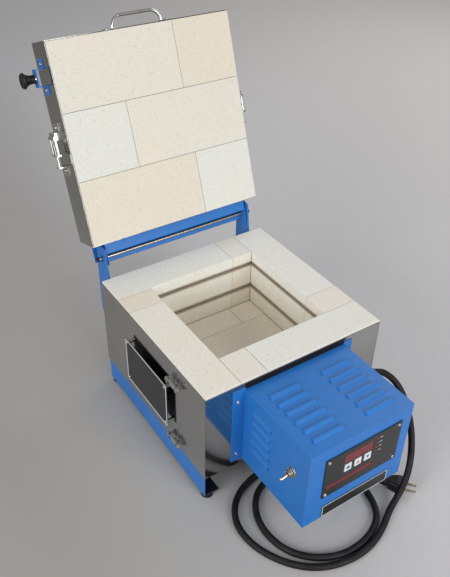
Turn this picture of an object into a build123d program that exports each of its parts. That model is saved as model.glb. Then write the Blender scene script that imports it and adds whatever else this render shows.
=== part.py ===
from build123d import *
import math
import os

# A small front-controlled craft kiln with its lid open.
# All lengths are in millimetres. +X is the kiln's right as seen from the front, -Y is its front, +Z is up.
# The origin is the middle of the body's footprint, on the bench.

# Firebricks
brick_width = 114.3
brick_length = 2 * brick_width
brick_thickness = 63.5
brick_joint = 0.3
brick_edge = 0.8
courses = 3
wall_seam_shares = (0.54, 0.52, 0.597, 0.607)

# Firing chamber
groove_height = 6.5
groove_depth = 12.0
groove_drops = (25.4, 76.2)
coil_radius = 2.4
coil_corner = 9.0
tail_radius = 1.6
tail_spacing = 24.0
tail_bore_clearance = 0.6
probe_radius = 3.0
probe_x = 60.0
probe_drop = 50.8
probe_reach = 14.0
probe_bore_clearance = 0.4

# Steel case, bottom pan and stand
case_sheet = 0.9
case_clearance = 0.3
brick_rise = 3.5
pan_thickness = 1.2
stand_height = 47.0
stand_sheet = 2.0
stand_flange = 28.0
stand_setback = 1.5
rail_height = 30.0
rail_setback = 22.0
foot_height = 8.0
foot_radius = 10.0
foot_setback = 20.0

# Controller box on the front
box_left = 101.75
box_right = 94.75
box_front = 331.5
box_bottom = 63.0
box_height = 154.5
box_sheet = 1.2
flange_left = 22.0
flange_right = 16.0
flange_rise = 5.0
flange_drop = 3.0
flange_screw_heights = (82.0, 198.0)
flange_screw_edge = 10.0
panel_gap = 0.2
louvre_length = 54.0
louvre_width = 8.0
louvre_rise = 3.0
louvre_sheet = 0.8
louvre_columns = (-53.0, 46.0)
louvre_rows = 6
louvre_pitch = 20.1
louvre_first = 209.0
side_louvre_length = 45.0
side_louvre_rows = 5
side_louvre_middle = 220.0
side_louvre_base = 108.0

# Control panel
plate_left = 72.0
plate_right = 75.0
plate_bottom = 111.5
plate_height = 82.5
plate_thickness = 1.5
plate_screw_inset = 6.0
display_left = 34.5
display_width = 53.5
display_bottom = 166.0
display_height = 17.0
key_width = 13.0
key_height = 14.3
key_pitch = 19.0
key_middle = -8.8
key_level = 156.0
key_proud = 1.2
key_travel = 0.8
key_clearance = 0.3
key_flange = 1.2
key_stem_radius = 2.1
lamp_radius = 1.5
lamp_x = 27.5
lamp_top = 183.0
lamp_pitch = 9.2
lamps = 4
badge_left = 66.5
badge_width = 132.5
badge_height = 25.0
badge_drop = 0.5
badge_thickness = 0.8
rivet_gap = 5.0
rivet_level = 83.5
rivet_radius = 2.4
board_thickness = 1.6
board_gap = 12.3
board_margin = 3.0
post_radius = 3.0

# Toggle switch on the controller's left wall
toggle_y = 296.6
toggle_z = 155.7
toggle_body = (22.0, 18.0, 28.0)
bush_radius = 5.8
bush_bore = 3.4
bush_reach = 8.75
nut_flats = 14.0
nut_thickness = 2.5
washer_radius = 9.0
washer_thickness = 0.8
lever_pivot = 4.25
lever_length = 18.5
lever_radius = 1.9
lever_tip_radius = 2.7
lever_ball = 3.0
lever_tilt = 13.0

# Parts inside the controller box
baffle_distance = 33.5
baffle_thickness = 0.8
insulator_radius = 5.0
insulator_neck_radius = 3.0
insulator_length = 12.0
connector_radius = 4.0
connector_length = 9.0
relay_size = (30.0, 25.0, 28.0)
relay_place = (-58.0, 118.0)
transformer_size = (45.0, 36.0, 38.0)
transformer_place = (35.0, 110.0)

# Nameplate on the left of the case
name_half_width = 70.0
name_bottom = 89.0
name_height = 92.0
name_thickness = 1.2
name_standoff = 7.35
name_inset = 6.0
screw_radius = 3.2
screw_head = 1.8
screw_dome_share = 0.6

# Clamps that draw the case's wrap tight, left of the case
case_clamp_levels = (70.5, 198.7)
case_clamp_front = 101.0
case_clamp_back = 73.0
clamp_rod_radius = 1.8
clamp_rod_offset = 6.5
clamp_lug_width = 9.0
clamp_lug_height = 11.0
clamp_sheet = 2.0
clamp_barrel_radius = 4.2
clamp_barrel_length = 13.0
clamp_barrel_gap = 2.0
clamp_nut_flats = 7.0
clamp_nut_thickness = 4.0

# Lid
lid_gap = 0.3
band_start = 3.0
cover_thickness = 1.2
open_angle = 109.3
hinge_back = 30.55
hinge_rise = 25.0

# Hinge posts, rod and bracket
post_inset = 20.45
post_sheet = 3.0
post_leg = 27.0
post_bottom = 131.0
post_leg_top = 226.0
post_screw_shares = (0.15, 0.85)
post_back = 22.0
post_head = 25.6
post_front_low = 20.0
post_front_drop = 34.0
slot_width = 7.2
slot_length = 14.0
slot_lean = 13.0
hinge_rod_radius = 2.75
rod_overhang = 12.0
cap_radius = 4.2
cap_length = 4.0
cap_grip = 3.0
bracket_sheet = 1.5
bracket_gap = 2.5
bracket_foot = (12.0, 58.0)
bracket_panel_low = 22.0
bracket_shelf_depth = 35.0
bracket_lip = 43.5
wing_reach = 9.5
wing_depth = 53.2
wing_rise = 14.5
ear_bore_clearance = 0.05
rivet_shares = (-0.74, -0.485, 0.0, 0.485, 0.74)
bracket_rivet_head = 1.0

# Lid fittings
handle_radius = 2.9
handle_span = 94.0
handle_middle = 3.0
handle_reach = 20.5
handle_corner = 20.0
handle_depth = 24.0
tab_length = 15.0
tab_width = 11.0
tab_thickness = 1.6
tab_screw_place = 9.0
strap_near = 260.0
strap_far = 318.0
strap_ear = 16.0
strap_width = 18.0
strap_rise = 15.0
strap_sheet = 1.6
strap_depth = 42.0
knob_length = 24.0
knob_base_radius = 7.5
knob_rim_radius = 13.5
ferrule_radius = 6.2
ferrule_length = 2.5
knob_rim_start = 20.4
knob_waist = (7.9, 12.0)
knob_rim_bevel = 2.0
lid_clamp_plates = (133.0, 206.0)
lid_clamp_depth_left = 42.0
lid_clamp_depth_right = 30.0
lid_clamp_plate = (17.0, 28.0)
lid_clamp_knuckle_gap = 7.0
lid_clamp_bar_span = 27.5
lid_clamp_knuckle_radius = 3.6
lid_clamp_bar_radius = 2.9
lid_clamp_bar_half = 11.25
lid_clamp_bolt_radius = 2.5
lid_clamp_bolt_end = 11.7
lid_clamp_yoke = 3.0
lid_clamp_lug_half = 9.0
lid_clamp_offset = 11.5

# Power cord
cord_radius = 5.5
cord_lift = 0.05
cord_arc_share = 0.45
boot_root_radius = 9.0
boot_tip_radius = 6.8
boot_reach = 14.0
boot_clearance = 0.1
gland_radius = 12.0
gland_thickness = 4.0
plug_length = 24.0
plug_neck = 13.0
plug_neck_radius = 7.6
plug_width = 26.0
plug_depth = 22.0
plug_corner = 4.0
plug_waist_share = 0.6
plug_rear_width = 18.7
plug_rear_depth = 16.5
blade_length = 22.0
blade_hole_radius = 1.5
blade_hole_inset = 4.0
blade_width = 6.3
blade_thickness = 1.5
blade_spacing = 12.7

# The cord's route, from its boot to the plug, as it lies in the photograph
cord_rest = cord_radius + cord_lift
cord_points = [
    (106.0, -222.0, 185.0),
    (130.0, -223.0, 180.5),
    (150.5, -228.0, 166.0),
    (163.5, -242.5, 148.0),
    (164.3, -265.7, 125.3),
    (153.2, -293.4, 102.8),
    (138.6, -315.6, 79.0),
    (123.9, -330.8, 52.9),
    (108.0, -339.6, 28.5),
    (90.5, -344.2, 11.8),
    (68.1, -352.4, cord_rest),
    (37.7, -370.6, cord_rest),
    (3.7, -383.9, cord_rest),
    (-32.7, -387.5, cord_rest),
    (-68.1, -382.1, cord_rest),
    (-101.4, -367.1, cord_rest),
    (-130.8, -339.0, cord_rest),
    (-153.3, -296.8, cord_rest),
    (-159.2, -251.2, cord_rest),
    (-144.6, -214.8, cord_rest),
    (-116.2, -190.5, cord_rest),
    (-78.4, -177.6, cord_rest),
    (-37.9, -176.2, cord_rest),
    (2.0, -188.9, cord_rest),
    (36.1, -214.2, cord_rest),
    (58.7, -249.8, cord_rest),
    (64.6, -287.5, cord_rest),
    (59.5, -320.5, cord_rest),
    (45.2, -349.4, cord_rest),
    (19.4, -366.4, cord_rest),
    (-13.2, -374.7, cord_rest),
    (-49.8, -373.6, cord_rest),
    (-87.1, -357.0, cord_rest),
    (-114.4, -328.3, cord_rest),
    (-126.2, -291.5, cord_rest),
    (-123.5, -252.8, cord_rest),
    (-107.8, -221.8, cord_rest),
    (-80.4, -199.9, cord_rest),
    (-45.3, -193.7, cord_rest),
    (-10.2, -202.0, cord_rest),
    (20.0, -220.0, 9.0),
    (45.5, -243.5, 18.4),
    (71.5, -272.5, 19.0),
    (95.0, -302.0, 12.6),
]

# Sizes that follow from the ones above
body_half = courses * brick_width / 2
case_outer = body_half + case_clearance + case_sheet
rivet_x = badge_width - badge_left + rivet_gap + rivet_radius
lid_clamp_depths = {-1: lid_clamp_depth_left, 1: lid_clamp_depth_right}
stand_top = foot_height + stand_height
floor_base = stand_top + pan_thickness
chamber_floor = floor_base + brick_thickness
body_top = chamber_floor + brick_width
case_top = body_top - brick_rise
chamber_half = body_half - brick_thickness
groove_reach = chamber_half + groove_depth
coil_line = groove_reach - coil_radius - case_clearance
stand_outer = case_outer - stand_setback
foot_place = stand_outer - foot_setback + foot_radius

box_top = box_bottom + box_height
panel_front = box_front - box_sheet
plate_front = box_front + plate_thickness
board_front = panel_front - board_gap

hinge_y = body_half + hinge_back
hinge_z = body_top + hinge_rise
lid_face = body_top + lid_gap
lid_top = lid_face + brick_thickness
post_inner = body_half - post_inset
hinge_rod_half = post_inner + rod_overhang
bracket_half = post_inner - bracket_gap
hinge_axis = Axis((0, hinge_y, hinge_z), (1, 0, 0))


# Shared shapes

def block(x0, x1, y0, y1, z0, z1):
    """A box between two corners."""
    return Pos((x0 + x1) / 2, (y0 + y1) / 2, (z0 + z1) / 2) * Box(x1 - x0, y1 - y0, z1 - z0)


def bar(start, end, radius):
    """A round bar from one point to another."""
    first = Vector(*start)
    span = Vector(*end) - first
    base = Plane(origin=first, z_dir=span).location
    return base * Cylinder(radius, span.length, align=(Align.CENTER, Align.CENTER, Align.MIN))


def brick(x0, x1, y0, y1, z0, z1):
    """A firebrick with eased edges on its top face."""
    solid = block(x0, x1, y0, y1, z0, z1)
    return fillet(solid.edges().group_by(Axis.Z)[-1], brick_edge)


def course(y0, z0, long_on_left):
    """One course of a full brick and a cut one, side by side along X."""
    y1 = y0 + brick_width - brick_joint
    split = brick_length - body_half
    seam = split if long_on_left else -split
    left = brick(-body_half, seam - brick_joint / 2, y0, y1, z0, z0 + brick_thickness)
    right = brick(seam + brick_joint / 2, body_half, y0, y1, z0, z0 + brick_thickness)
    return [left, right]


def square_ring(outer, wall, z0, z1):
    """A square tube standing on z0."""
    inner = outer - wall
    hollow = block(-inner, inner, -inner, inner, z0 - 1, z1 + 1)
    return block(-outer, outer, -outer, outer, z0, z1) - hollow


def pan_screw(place, direction, radius=screw_radius, head=screw_head):
    """The head of a round-headed screw that stands on a surface."""
    base = Plane(origin=place, z_dir=direction).location
    solid = base * Cylinder(radius, head, align=(Align.CENTER, Align.CENTER, Align.MIN))
    rim = solid.edges().filter_by(GeomType.CIRCLE).sort_by_distance(Vector(*place))[-1]
    return fillet(rim, head * screw_dome_share)


def lid_block(x0, x1, u0, u1, n0, n1):
    """A box on the closed lid: u runs forward from the hinge edge, n up from the brick face."""
    return block(x0, x1, body_half - u1, body_half - u0, lid_face + n0, lid_face + n1)


def lid_point(x, u, n):
    """A point on the closed lid."""
    return (x, body_half - u, lid_face + n)


def opened(solid):
    """A piece of the closed lid, turned to where the open lid rests."""
    return solid.rotate(hinge_axis, -open_angle)


# Body

def wall_bricks():
    """The four full bricks and four cut ones of the walls, laid round in a pinwheel."""
    names = ("front", "right", "back", "left")
    long_bricks = {}
    short_bricks = []
    for turn, (name, share) in enumerate(zip(names, wall_seam_shares)):
        seam = -chamber_half * share
        full = brick(seam, body_half, -body_half, -chamber_half, chamber_floor, body_top)
        cut = brick(
            brick_joint - chamber_half, seam - brick_joint, -body_half, -chamber_half,
            chamber_floor, body_top)
        for drop in groove_drops:
            level = body_top - drop
            groove = block(
                -groove_reach, groove_reach, -groove_reach, groove_reach,
                level - groove_height / 2, level + groove_height / 2)
            full = full - groove
            cut = cut - groove
        long_bricks[name] = full.rotate(Axis.Z, turn * 90)
        short_bricks.append(cut.rotate(Axis.Z, turn * 90))
    for x, level in tail_places():
        bore = tail_radius + tail_bore_clearance
        long_bricks["front"] -= bar((x, -case_outer - 1, level), (x, -coil_line, level), bore)
    hole = probe_radius + probe_bore_clearance
    level = body_top - probe_drop
    long_bricks["front"] -= bar((probe_x, -case_outer - 1, level), (probe_x, 1 - chamber_half, level), hole)
    return long_bricks, short_bricks


def tail_places():
    """Where the elements' tails pass through the front wall, as (x, z)."""
    places = []
    for drop in groove_drops:
        for side in (-1, 1):
            places.append((side * tail_spacing / 2, body_top - drop))
    return places


def floor_bricks():
    """Three courses under the chamber."""
    bricks = []
    for row in range(courses):
        bricks += course(-body_half + row * brick_width, floor_base, row != 1)
    return bricks


def element(drop):
    """One heating element: its coil's outer form round the chamber, with two straight tails."""
    level = body_top - drop
    half = tail_spacing / 2
    corners = [
        (-half, -coil_line, level),
        (-coil_line, -coil_line, level),
        (-coil_line, coil_line, level),
        (coil_line, coil_line, level),
        (coil_line, -coil_line, level),
        (half, -coil_line, level),
    ]
    path = FilletPolyline(*corners, radius=coil_corner)
    solid = sweep(Plane(origin=path @ 0, z_dir=path % 0) * Circle(coil_radius), path=path)
    tail_end = case_outer + insulator_length + connector_length
    for side in (-1, 1):
        x = side * half
        solid += bar((x, -coil_line, level), (x, -tail_end, level), tail_radius)
    return solid


def case_wrap():
    """The polished steel wrap, with holes for the element tails and the probe."""
    wrap = square_ring(case_outer, case_sheet, stand_top, case_top)
    wrap = fillet(wrap.edges().filter_by(Axis.Z), case_sheet / 3)
    for x, level in tail_places():
        wrap -= bar((x, -case_outer - 1, level), (x, -body_half, level), insulator_neck_radius)
    level = body_top - probe_drop
    hole = probe_radius + probe_bore_clearance
    wrap -= bar((probe_x, -case_outer - 1, level), (probe_x, -body_half, level), hole)
    return wrap


def bottom_pan():
    """The flat steel pan that carries the floor bricks."""
    half = body_half
    return block(-half, half, -half, half, stand_top, floor_base)


def stand_channel(side):
    """A folded channel under one side of the body, with its web outward."""
    length = stand_outer - stand_setback
    outer = side * stand_outer
    inner = side * (stand_outer - stand_flange)
    x0, x1 = sorted((outer, inner))
    solid = block(x0, x1, -length, length, foot_height, stand_top)
    shift = -side * stand_sheet
    hollow = block(
        x0 + shift, x1 + shift, -length - 1, length + 1,
        foot_height + stand_sheet, stand_top - stand_sheet)
    return solid - hollow


def stand_rail(side):
    """A cross rail between the channels, set back under the front or the back."""
    half = stand_outer - stand_flange
    place = side * (stand_outer - rail_setback)
    lip = place - side * stand_flange / 2
    y0, y1 = sorted((place, place - side * stand_sheet))
    web = block(-half, half, y0, y1, stand_top - rail_height, stand_top)
    f0, f1 = sorted((place, lip))
    return web + block(-half, half, f0, f1, stand_top - stand_sheet, stand_top)


def rubber_feet():
    """Four round feet under the channels' lower flanges."""
    feet = []
    for x in (-foot_place, foot_place):
        for y in (-foot_place, foot_place):
            foot = bar((x, y, 0), (x, y, foot_height), foot_radius)
            feet.append(foot)
    return feet


def element_insulators():
    """A porcelain bush round each element tail, on the front of the case."""
    bushes = []
    for x, level in tail_places():
        outer = bar((x, -case_outer, level), (x, -case_outer - insulator_length, level), insulator_radius)
        bore = bar(
            (x, 1 - case_outer, level), (x, -case_outer - insulator_length - 1, level),
            tail_radius + panel_gap)
        bushes.append(outer - bore)
    return bushes


def element_connectors():
    """A brass connector on the end of each element tail."""
    connectors = []
    start = case_outer + insulator_length
    for x, level in tail_places():
        outer = bar((x, -start, level), (x, -start - connector_length, level), connector_radius)
        bore = bar((x, 1 - start, level), (x, -start - connector_length - 1, level), tail_radius)
        connectors.append(outer - bore)
    return connectors


def thermocouple():
    """The probe's sheath through the front wall, with its terminal head outside the case."""
    level = body_top - probe_drop
    sheath = bar((probe_x, -case_outer, level), (probe_x, probe_reach - chamber_half, level), probe_radius)
    head = block(
        probe_x - insulator_length, probe_x + insulator_length,
        -case_outer - insulator_length, -case_outer,
        level - connector_length, level + connector_length)
    return sheath + head


# Controller

def louvre(length):
    """A pressed louvre lying along X on a sheet's top face: a hood that is open towards +Y."""
    half = louvre_width / 2
    outer = Polyline((0, -half, 0), (0, half, 0), (0, half, louvre_rise), (0, 0, louvre_rise), close=True)
    skin = extrude(make_face(outer), amount=length / 2, dir=(1, 0, 0), both=True)
    inner = Polyline(
        (0, -half + louvre_sheet * 2, -1),
        (0, half + 1, -1),
        (0, half + 1, louvre_rise - louvre_sheet),
        (0, louvre_sheet / 2, louvre_rise - louvre_sheet),
        (0, -half + louvre_sheet * 2, 0),
        close=True)
    void = extrude(make_face(inner), amount=length / 2 - louvre_sheet, dir=(1, 0, 0), both=True)
    return skin - void


def louvre_slot(length):
    """The hole in the sheet under a louvre."""
    half = louvre_width / 2
    return block(
        -length / 2 + louvre_sheet, length / 2 - louvre_sheet,
        louvre_sheet * 2 - half, half, -3 * box_sheet, box_sheet)


def controller_wrap():
    """The box's folded cover: its top, its two sides and the flanges that screw to the case."""
    rear = case_outer + box_sheet
    solid = block(-box_left, box_right, -panel_front, -case_outer, box_bottom, box_top)
    solid -= block(
        box_sheet - box_left, box_right - box_sheet, -panel_front - 1, 1 - case_outer,
        box_bottom - 1, box_top - box_sheet)
    foot = box_bottom + flange_drop
    crest = box_top + flange_rise
    solid += block(-box_left - flange_left, box_sheet - box_left, -rear, -case_outer, foot, crest)
    solid += block(box_right - box_sheet, box_right + flange_right, -rear, -case_outer, foot, crest)
    for x in louvre_columns:
        for row in range(louvre_rows):
            place = Pos(x, -louvre_first - row * louvre_pitch, box_top)
            solid -= place * louvre_slot(louvre_length)
            solid += place * louvre(louvre_length)
    for row in range(side_louvre_rows):
        level = side_louvre_base + row * louvre_pitch
        place = Pos(-box_left, -side_louvre_middle, level) * Rot(0, 0, 90) * Rot(-90, 0, 0)
        solid -= place * louvre_slot(side_louvre_length)
        solid += place * louvre(side_louvre_length)
    solid -= bar(
        (-box_left - 1, -toggle_y, toggle_z), (2 * box_sheet - box_left, -toggle_y, toggle_z),
        bush_radius + panel_gap)
    return solid


def key_places():
    """The three keys' middles along X."""
    return [key_middle + step * key_pitch for step in (-1, 0, 1)]


def key_window(x, depth_from, depth_to):
    """The window that a key slides through."""
    half_width = key_width / 2 + key_clearance
    half_height = key_height / 2 + key_clearance
    return block(
        x - half_width, x + half_width, -depth_to, -depth_from,
        key_level - half_height, key_level + half_height)


def controller_front():
    """The front panel and the floor of the box, folded from one sheet."""
    panel = block(-box_left, box_right, -box_front, -panel_front, box_bottom, box_top)
    inset = box_sheet + panel_gap
    floor = block(
        inset - box_left, box_right - inset, -panel_front, -case_outer - panel_gap,
        box_bottom, box_bottom + box_sheet)
    solid = panel + floor
    for x in key_places():
        solid -= key_window(x, panel_front - 1, box_front + 1)
    return solid


def display_box(depth_from, depth_to, clearance):
    """The space of the display window."""
    return block(
        -display_left - clearance, display_width - display_left + clearance, -depth_to, -depth_from,
        display_bottom - clearance, display_bottom + display_height + clearance)


def lamp_places():
    """The indicator lamps' levels."""
    return [lamp_top - step * lamp_pitch for step in range(lamps)]


def control_faceplate():
    """The black panel on the front, with its openings."""
    solid = block(
        -plate_left, plate_right, -plate_front, -box_front, plate_bottom, plate_bottom + plate_height)
    for x in key_places():
        solid -= key_window(x, box_front - 1, plate_front + 1)
    solid -= display_box(box_front - 1, plate_front + 1, panel_gap)
    for level in lamp_places():
        solid -= bar(
            (lamp_x, 1 - box_front, level), (lamp_x, -plate_front - 1, level), lamp_radius + panel_gap)
    return solid


def indicator_lamps():
    """Four small lamps standing on the front panel, through the faceplate."""
    return [
        bar((lamp_x, -box_front, level), (lamp_x, -plate_front - panel_gap, level), lamp_radius)
        for level in lamp_places()]


def faceplate_screws():
    """The four screw heads at the faceplate's corners, and the box's front rivet."""
    heads = []
    for x in (plate_screw_inset - plate_left, plate_right - plate_screw_inset):
        for z in (plate_bottom + plate_screw_inset, plate_bottom + plate_height - plate_screw_inset):
            heads.append(pan_screw((x, -plate_front, z), (0, -1, 0), screw_radius - panel_gap))
    heads.append(pan_screw((rivet_x, -box_front, rivet_level), (0, -1, 0), rivet_radius, rivet_radius / 3))
    return heads


def control_key(x):
    """A key with the flange that keeps it in its window and the stem that works its switch."""
    half_width = key_width / 2
    half_height = key_height / 2
    cap = block(
        x - half_width, x + half_width, -plate_front - key_proud, key_clearance - panel_front,
        key_level - half_height, key_level + half_height)
    cap = fillet(cap.edges().group_by(Axis.Y)[0], key_clearance)
    lip = (key_pitch - key_width) / 4
    back = panel_front - key_clearance
    flange = block(
        x - half_width - lip, x + half_width + lip, -back, key_flange - back,
        key_level - half_height - lip, key_level + half_height + lip)
    stem_end = board_front + switch_height() + key_travel + key_clearance
    stem = bar((x, key_flange - back, key_level), (x, -stem_end, key_level), key_stem_radius)
    return cap + flange + stem


def switch_height():
    """How far a key's switch stands off the circuit board."""
    return board_gap / 3


def circuit_board():
    """The board behind the faceplate, with the three key switches on it."""
    back = board_front - board_thickness
    solid = block(
        board_margin - plate_left, plate_right - board_margin, -board_front, -back,
        plate_bottom + board_margin, plate_bottom + plate_height - board_margin)
    half = post_radius
    for x in key_places():
        solid += block(
            x - half, x + half, -board_front - switch_height(), -board_front,
            key_level - half, key_level + half)
    return solid


def board_spacers():
    """Four posts that hold the board behind the front panel."""
    spacers = []
    inset = board_margin + 2 * post_radius
    for x in (inset - plate_left, plate_right - inset):
        for z in (plate_bottom + inset, plate_bottom + plate_height - inset):
            spacers.append(bar((x, -panel_front, z), (x, -board_front, z), post_radius))
    return spacers


def badge():
    """The bare badge plate along the front panel's lower edge."""
    base = box_bottom + badge_drop
    return block(
        -badge_left, badge_width - badge_left, -box_front - badge_thickness, -box_front,
        base, base + badge_height)


def flange_screws():
    """The screws that hold the controller's flanges to the case."""
    face = case_outer + box_sheet
    heads = []
    for level in flange_screw_heights:
        for x in (-box_left - flange_left + flange_screw_edge, box_right + flange_right / 2):
            heads.append(pan_screw((x, -face, level), (0, -1, 0)))
    return heads


def heat_baffle():
    """A steel plate across the box that shades the electronics from the case."""
    front = case_outer + baffle_distance + baffle_thickness
    inset = box_sheet + panel_gap
    return block(
        inset - box_left, box_right - inset, -front, baffle_thickness - front,
        box_bottom + box_sheet, box_top - box_sheet - panel_gap)


def on_baffle(place, size):
    """A block that stands on the front of the heat baffle."""
    front = case_outer + baffle_distance + baffle_thickness
    x, z = place
    width, depth, height = size
    return block(x - width / 2, x + width / 2, -front - depth, -front, z - height / 2, z + height / 2)


def transformer():
    """A laminated core with a winding round its middle leg."""
    x, z = transformer_place
    width, depth, height = transformer_size
    core = on_baffle(transformer_place, transformer_size)
    front = case_outer + baffle_distance + baffle_thickness
    winding = block(
        x - width / 4, x + width / 4, -front - depth - board_margin, -front - board_margin,
        z - height / 2 - board_margin, z + height / 2 + board_margin)
    return core + winding


# Toggle switch

def toggle_switch():
    """The switch's body inside the box and its threaded bush through the wall."""
    depth, width, height = toggle_body
    inner = box_left - box_sheet
    solid = block(
        -inner, depth - inner, -toggle_y - width / 2, -toggle_y + width / 2,
        toggle_z - height / 2, toggle_z + height / 2)
    solid += bar(
        (-inner, -toggle_y, toggle_z), (-box_left - bush_reach, -toggle_y, toggle_z), bush_radius)
    well = lever_pivot - lever_ball - key_clearance
    solid -= bar(
        (-box_left - bush_reach - 1, -toggle_y, toggle_z), (-box_left - well, -toggle_y, toggle_z), bush_bore)
    return solid


def toggle_nut():
    """The washer and the hexagon nut that clamp the bush to the wall."""
    turn = Pos(-box_left, -toggle_y, toggle_z) * Rot(0, -90, 0)
    low = (Align.CENTER, Align.CENTER, Align.MIN)
    washer = turn * Cylinder(washer_radius, washer_thickness, align=low)
    hexagon = RegularPolygon(nut_flats / 2, 6, major_radius=False)
    nut = turn * Pos(0, 0, washer_thickness) * extrude(hexagon, amount=nut_thickness)
    bore = turn * Cylinder(bush_radius + ear_bore_clearance, 2 * bush_reach, align=low)
    return [washer - bore, nut - bore]


def toggle_lever():
    """The bat-shaped lever, resting at the lower end of its throw."""
    cone = Cone(lever_radius, lever_tip_radius, lever_length - lever_tip_radius,
                align=(Align.CENTER, Align.CENTER, Align.MIN))
    tip = Pos(0, 0, lever_length - lever_tip_radius) * Sphere(lever_tip_radius)
    solid = Sphere(lever_ball) + cone + tip
    place = Pos(-box_left - lever_pivot, -toggle_y, toggle_z) * Rot(0, -90 - lever_tilt, 0)
    return place * solid


# Nameplate and case clamps

def name_corners():
    """The nameplate's fixing points, as (y, z)."""
    half = name_half_width - name_inset
    low = name_bottom + name_inset
    high = name_bottom + name_height - name_inset
    return [(y, z) for y in (-half, half) for z in (low, high)]


def nameplate():
    """The bare plate that stands off the left of the case."""
    face = case_outer + name_standoff
    return block(
        -face - name_thickness, -face, -name_half_width, name_half_width,
        name_bottom, name_bottom + name_height)


def nameplate_standoffs():
    """Four spacers behind the nameplate."""
    face = case_outer + name_standoff
    return [bar((-case_outer, y, z), (-face, y, z), screw_radius) for y, z in name_corners()]


def nameplate_screws():
    """Four screw heads on the nameplate."""
    face = case_outer + name_standoff + name_thickness
    return [pan_screw((-face, y, z), (-1, 0, 0), screw_radius - panel_gap) for y, z in name_corners()]


def case_clamp(level):
    """A pair of lugs on the case, a threaded rod with two nuts that draw them together, and its barrel."""
    rod_x = -case_outer - clamp_rod_offset
    outer_x = rod_x - clamp_rod_radius - clamp_sheet
    z0 = level - clamp_lug_height / 2
    z1 = level + clamp_lug_height / 2
    hexagon = RegularPolygon(clamp_nut_flats / 2, 6, major_radius=False)
    reach = clamp_nut_thickness + clamp_rod_radius
    rod_front = -case_clamp_front - reach
    rod_back = reach - case_clamp_back
    rod = bar((rod_x, rod_front, level), (rod_x, rod_back, level), clamp_rod_radius)
    barrel_front = clamp_sheet + clamp_barrel_gap - case_clamp_front
    barrel_back = barrel_front + clamp_barrel_length
    rod += bar((rod_x, barrel_front, level), (rod_x, barrel_back, level), clamp_barrel_radius)
    lugs = []
    for y, side in ((-case_clamp_front, -1), (-case_clamp_back, 1)):
        y0, y1 = sorted((y, y - side * clamp_lug_width))
        s0, s1 = sorted((y, y - side * clamp_sheet))
        foot = block(-case_outer - clamp_sheet, -case_outer, y0, y1, z0, z1)
        stand = block(outer_x, -case_outer, s0, s1, z0, z1)
        hole = bar((rod_x, s0 - 1, level), (rod_x, s1 + 1, level), clamp_rod_radius + panel_gap)
        lugs.append(foot + stand - hole)
        seat = Plane(origin=(rod_x, y, level), z_dir=(0, side, 0)).location
        rod += seat * extrude(hexagon, amount=clamp_nut_thickness)
    return lugs + [rod]


# Hinge

def hinge_post(side):
    """A bent plate on the back of the case: a leg against the case and a slotted cheek behind it."""
    front = hinge_y - post_front_low
    low = hinge_z - post_front_drop
    crown = hinge_y - post_head / 2
    rear = hinge_y + post_back
    rise = math.sqrt(post_head ** 2 - post_back ** 2)
    brow = math.sqrt(post_head ** 2 - (post_head / 2) ** 2)
    outline = Polyline(
        (0, crown, hinge_z + brow),
        (0, front, low),
        (0, case_outer, low - post_sheet),
        (0, case_outer, post_bottom),
        (0, rear, post_bottom),
        (0, rear, hinge_z + rise))
    head = ThreePointArc(
        (0, rear, hinge_z + rise), (0, hinge_y, hinge_z + post_head), (0, crown, hinge_z + brow))
    cheek = extrude(make_face(outline + head), amount=post_sheet, dir=(1, 0, 0))
    cheek = Pos(post_inner, 0, 0) * cheek
    leg = block(
        post_inner + post_sheet - post_leg, post_inner + post_sheet, case_outer, case_outer + post_sheet,
        post_bottom, post_leg_top)
    slot = Pos(post_inner + post_sheet / 2, hinge_y, hinge_z) * Rot(-slot_lean, 0, 0) * Rot(0, 90, 0)
    cutter = extrude(SlotOverall(slot_length, slot_width), amount=2 * post_sheet, both=True)
    solid = cheek + leg - slot * cutter
    return solid if side > 0 else mirror(solid, about=Plane.YZ)


def post_screws():
    """The screws through the posts' legs into the back of the case."""
    heads = []
    span = post_leg_top - post_bottom
    x = post_inner + post_sheet - post_leg / 2
    for side in (-1, 1):
        for share in post_screw_shares:
            place = (side * x, case_outer + post_sheet, post_bottom + share * span)
            heads.append(pan_screw(place, (0, 1, 0)))
    return heads


def hinge_rod():
    """The rod that the lid turns on, made with the lid because it is fast in the lid's bracket."""
    return bar((-hinge_rod_half, hinge_y, hinge_z), (hinge_rod_half, hinge_y, hinge_z), hinge_rod_radius)


def rod_caps():
    """A push-on cap on each end of the rod."""
    caps = []
    for side in (-1, 1):
        start = side * (hinge_rod_half - cap_grip)
        end = start + side * cap_length
        cap = bar((start, hinge_y, hinge_z), (end, hinge_y, hinge_z), cap_radius)
        caps.append(cap - hinge_rod())
    return caps


def lid_hinge_bracket():
    """The folded bracket on the lid's hinge edge, with an ear and a stop wing at each end."""
    near, far = bracket_foot
    sheet = bracket_sheet
    base = -case_clearance - case_sheet
    half = bracket_half
    lip = -bracket_lip
    shelf = -bracket_panel_low
    back = bracket_shelf_depth
    inner = half - sheet
    solid = lid_block(-inner, inner, base - sheet, base, near, far)
    solid += lid_block(-inner, inner, shelf, base, near, near + sheet)
    solid += lid_block(-inner, inner, shelf, shelf + sheet, near, back)
    solid += lid_block(-inner, inner, lip, shelf + sheet, back - sheet, back)
    for side in (-1, 1):
        x0, x1 = sorted((side * inner, side * half))
        solid += lid_block(x0, x1, lip, base, near, wing_depth + sheet)
        w0, w1 = sorted((side * inner, side * (half + wing_reach)))
        solid += lid_block(w0, w1, lip, -wing_rise, wing_depth, wing_depth + sheet)
    bore = bar(
        (-half - 1, hinge_y, hinge_z), (half + 1, hinge_y, hinge_z), hinge_rod_radius + ear_bore_clearance)
    return solid - bore


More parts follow.
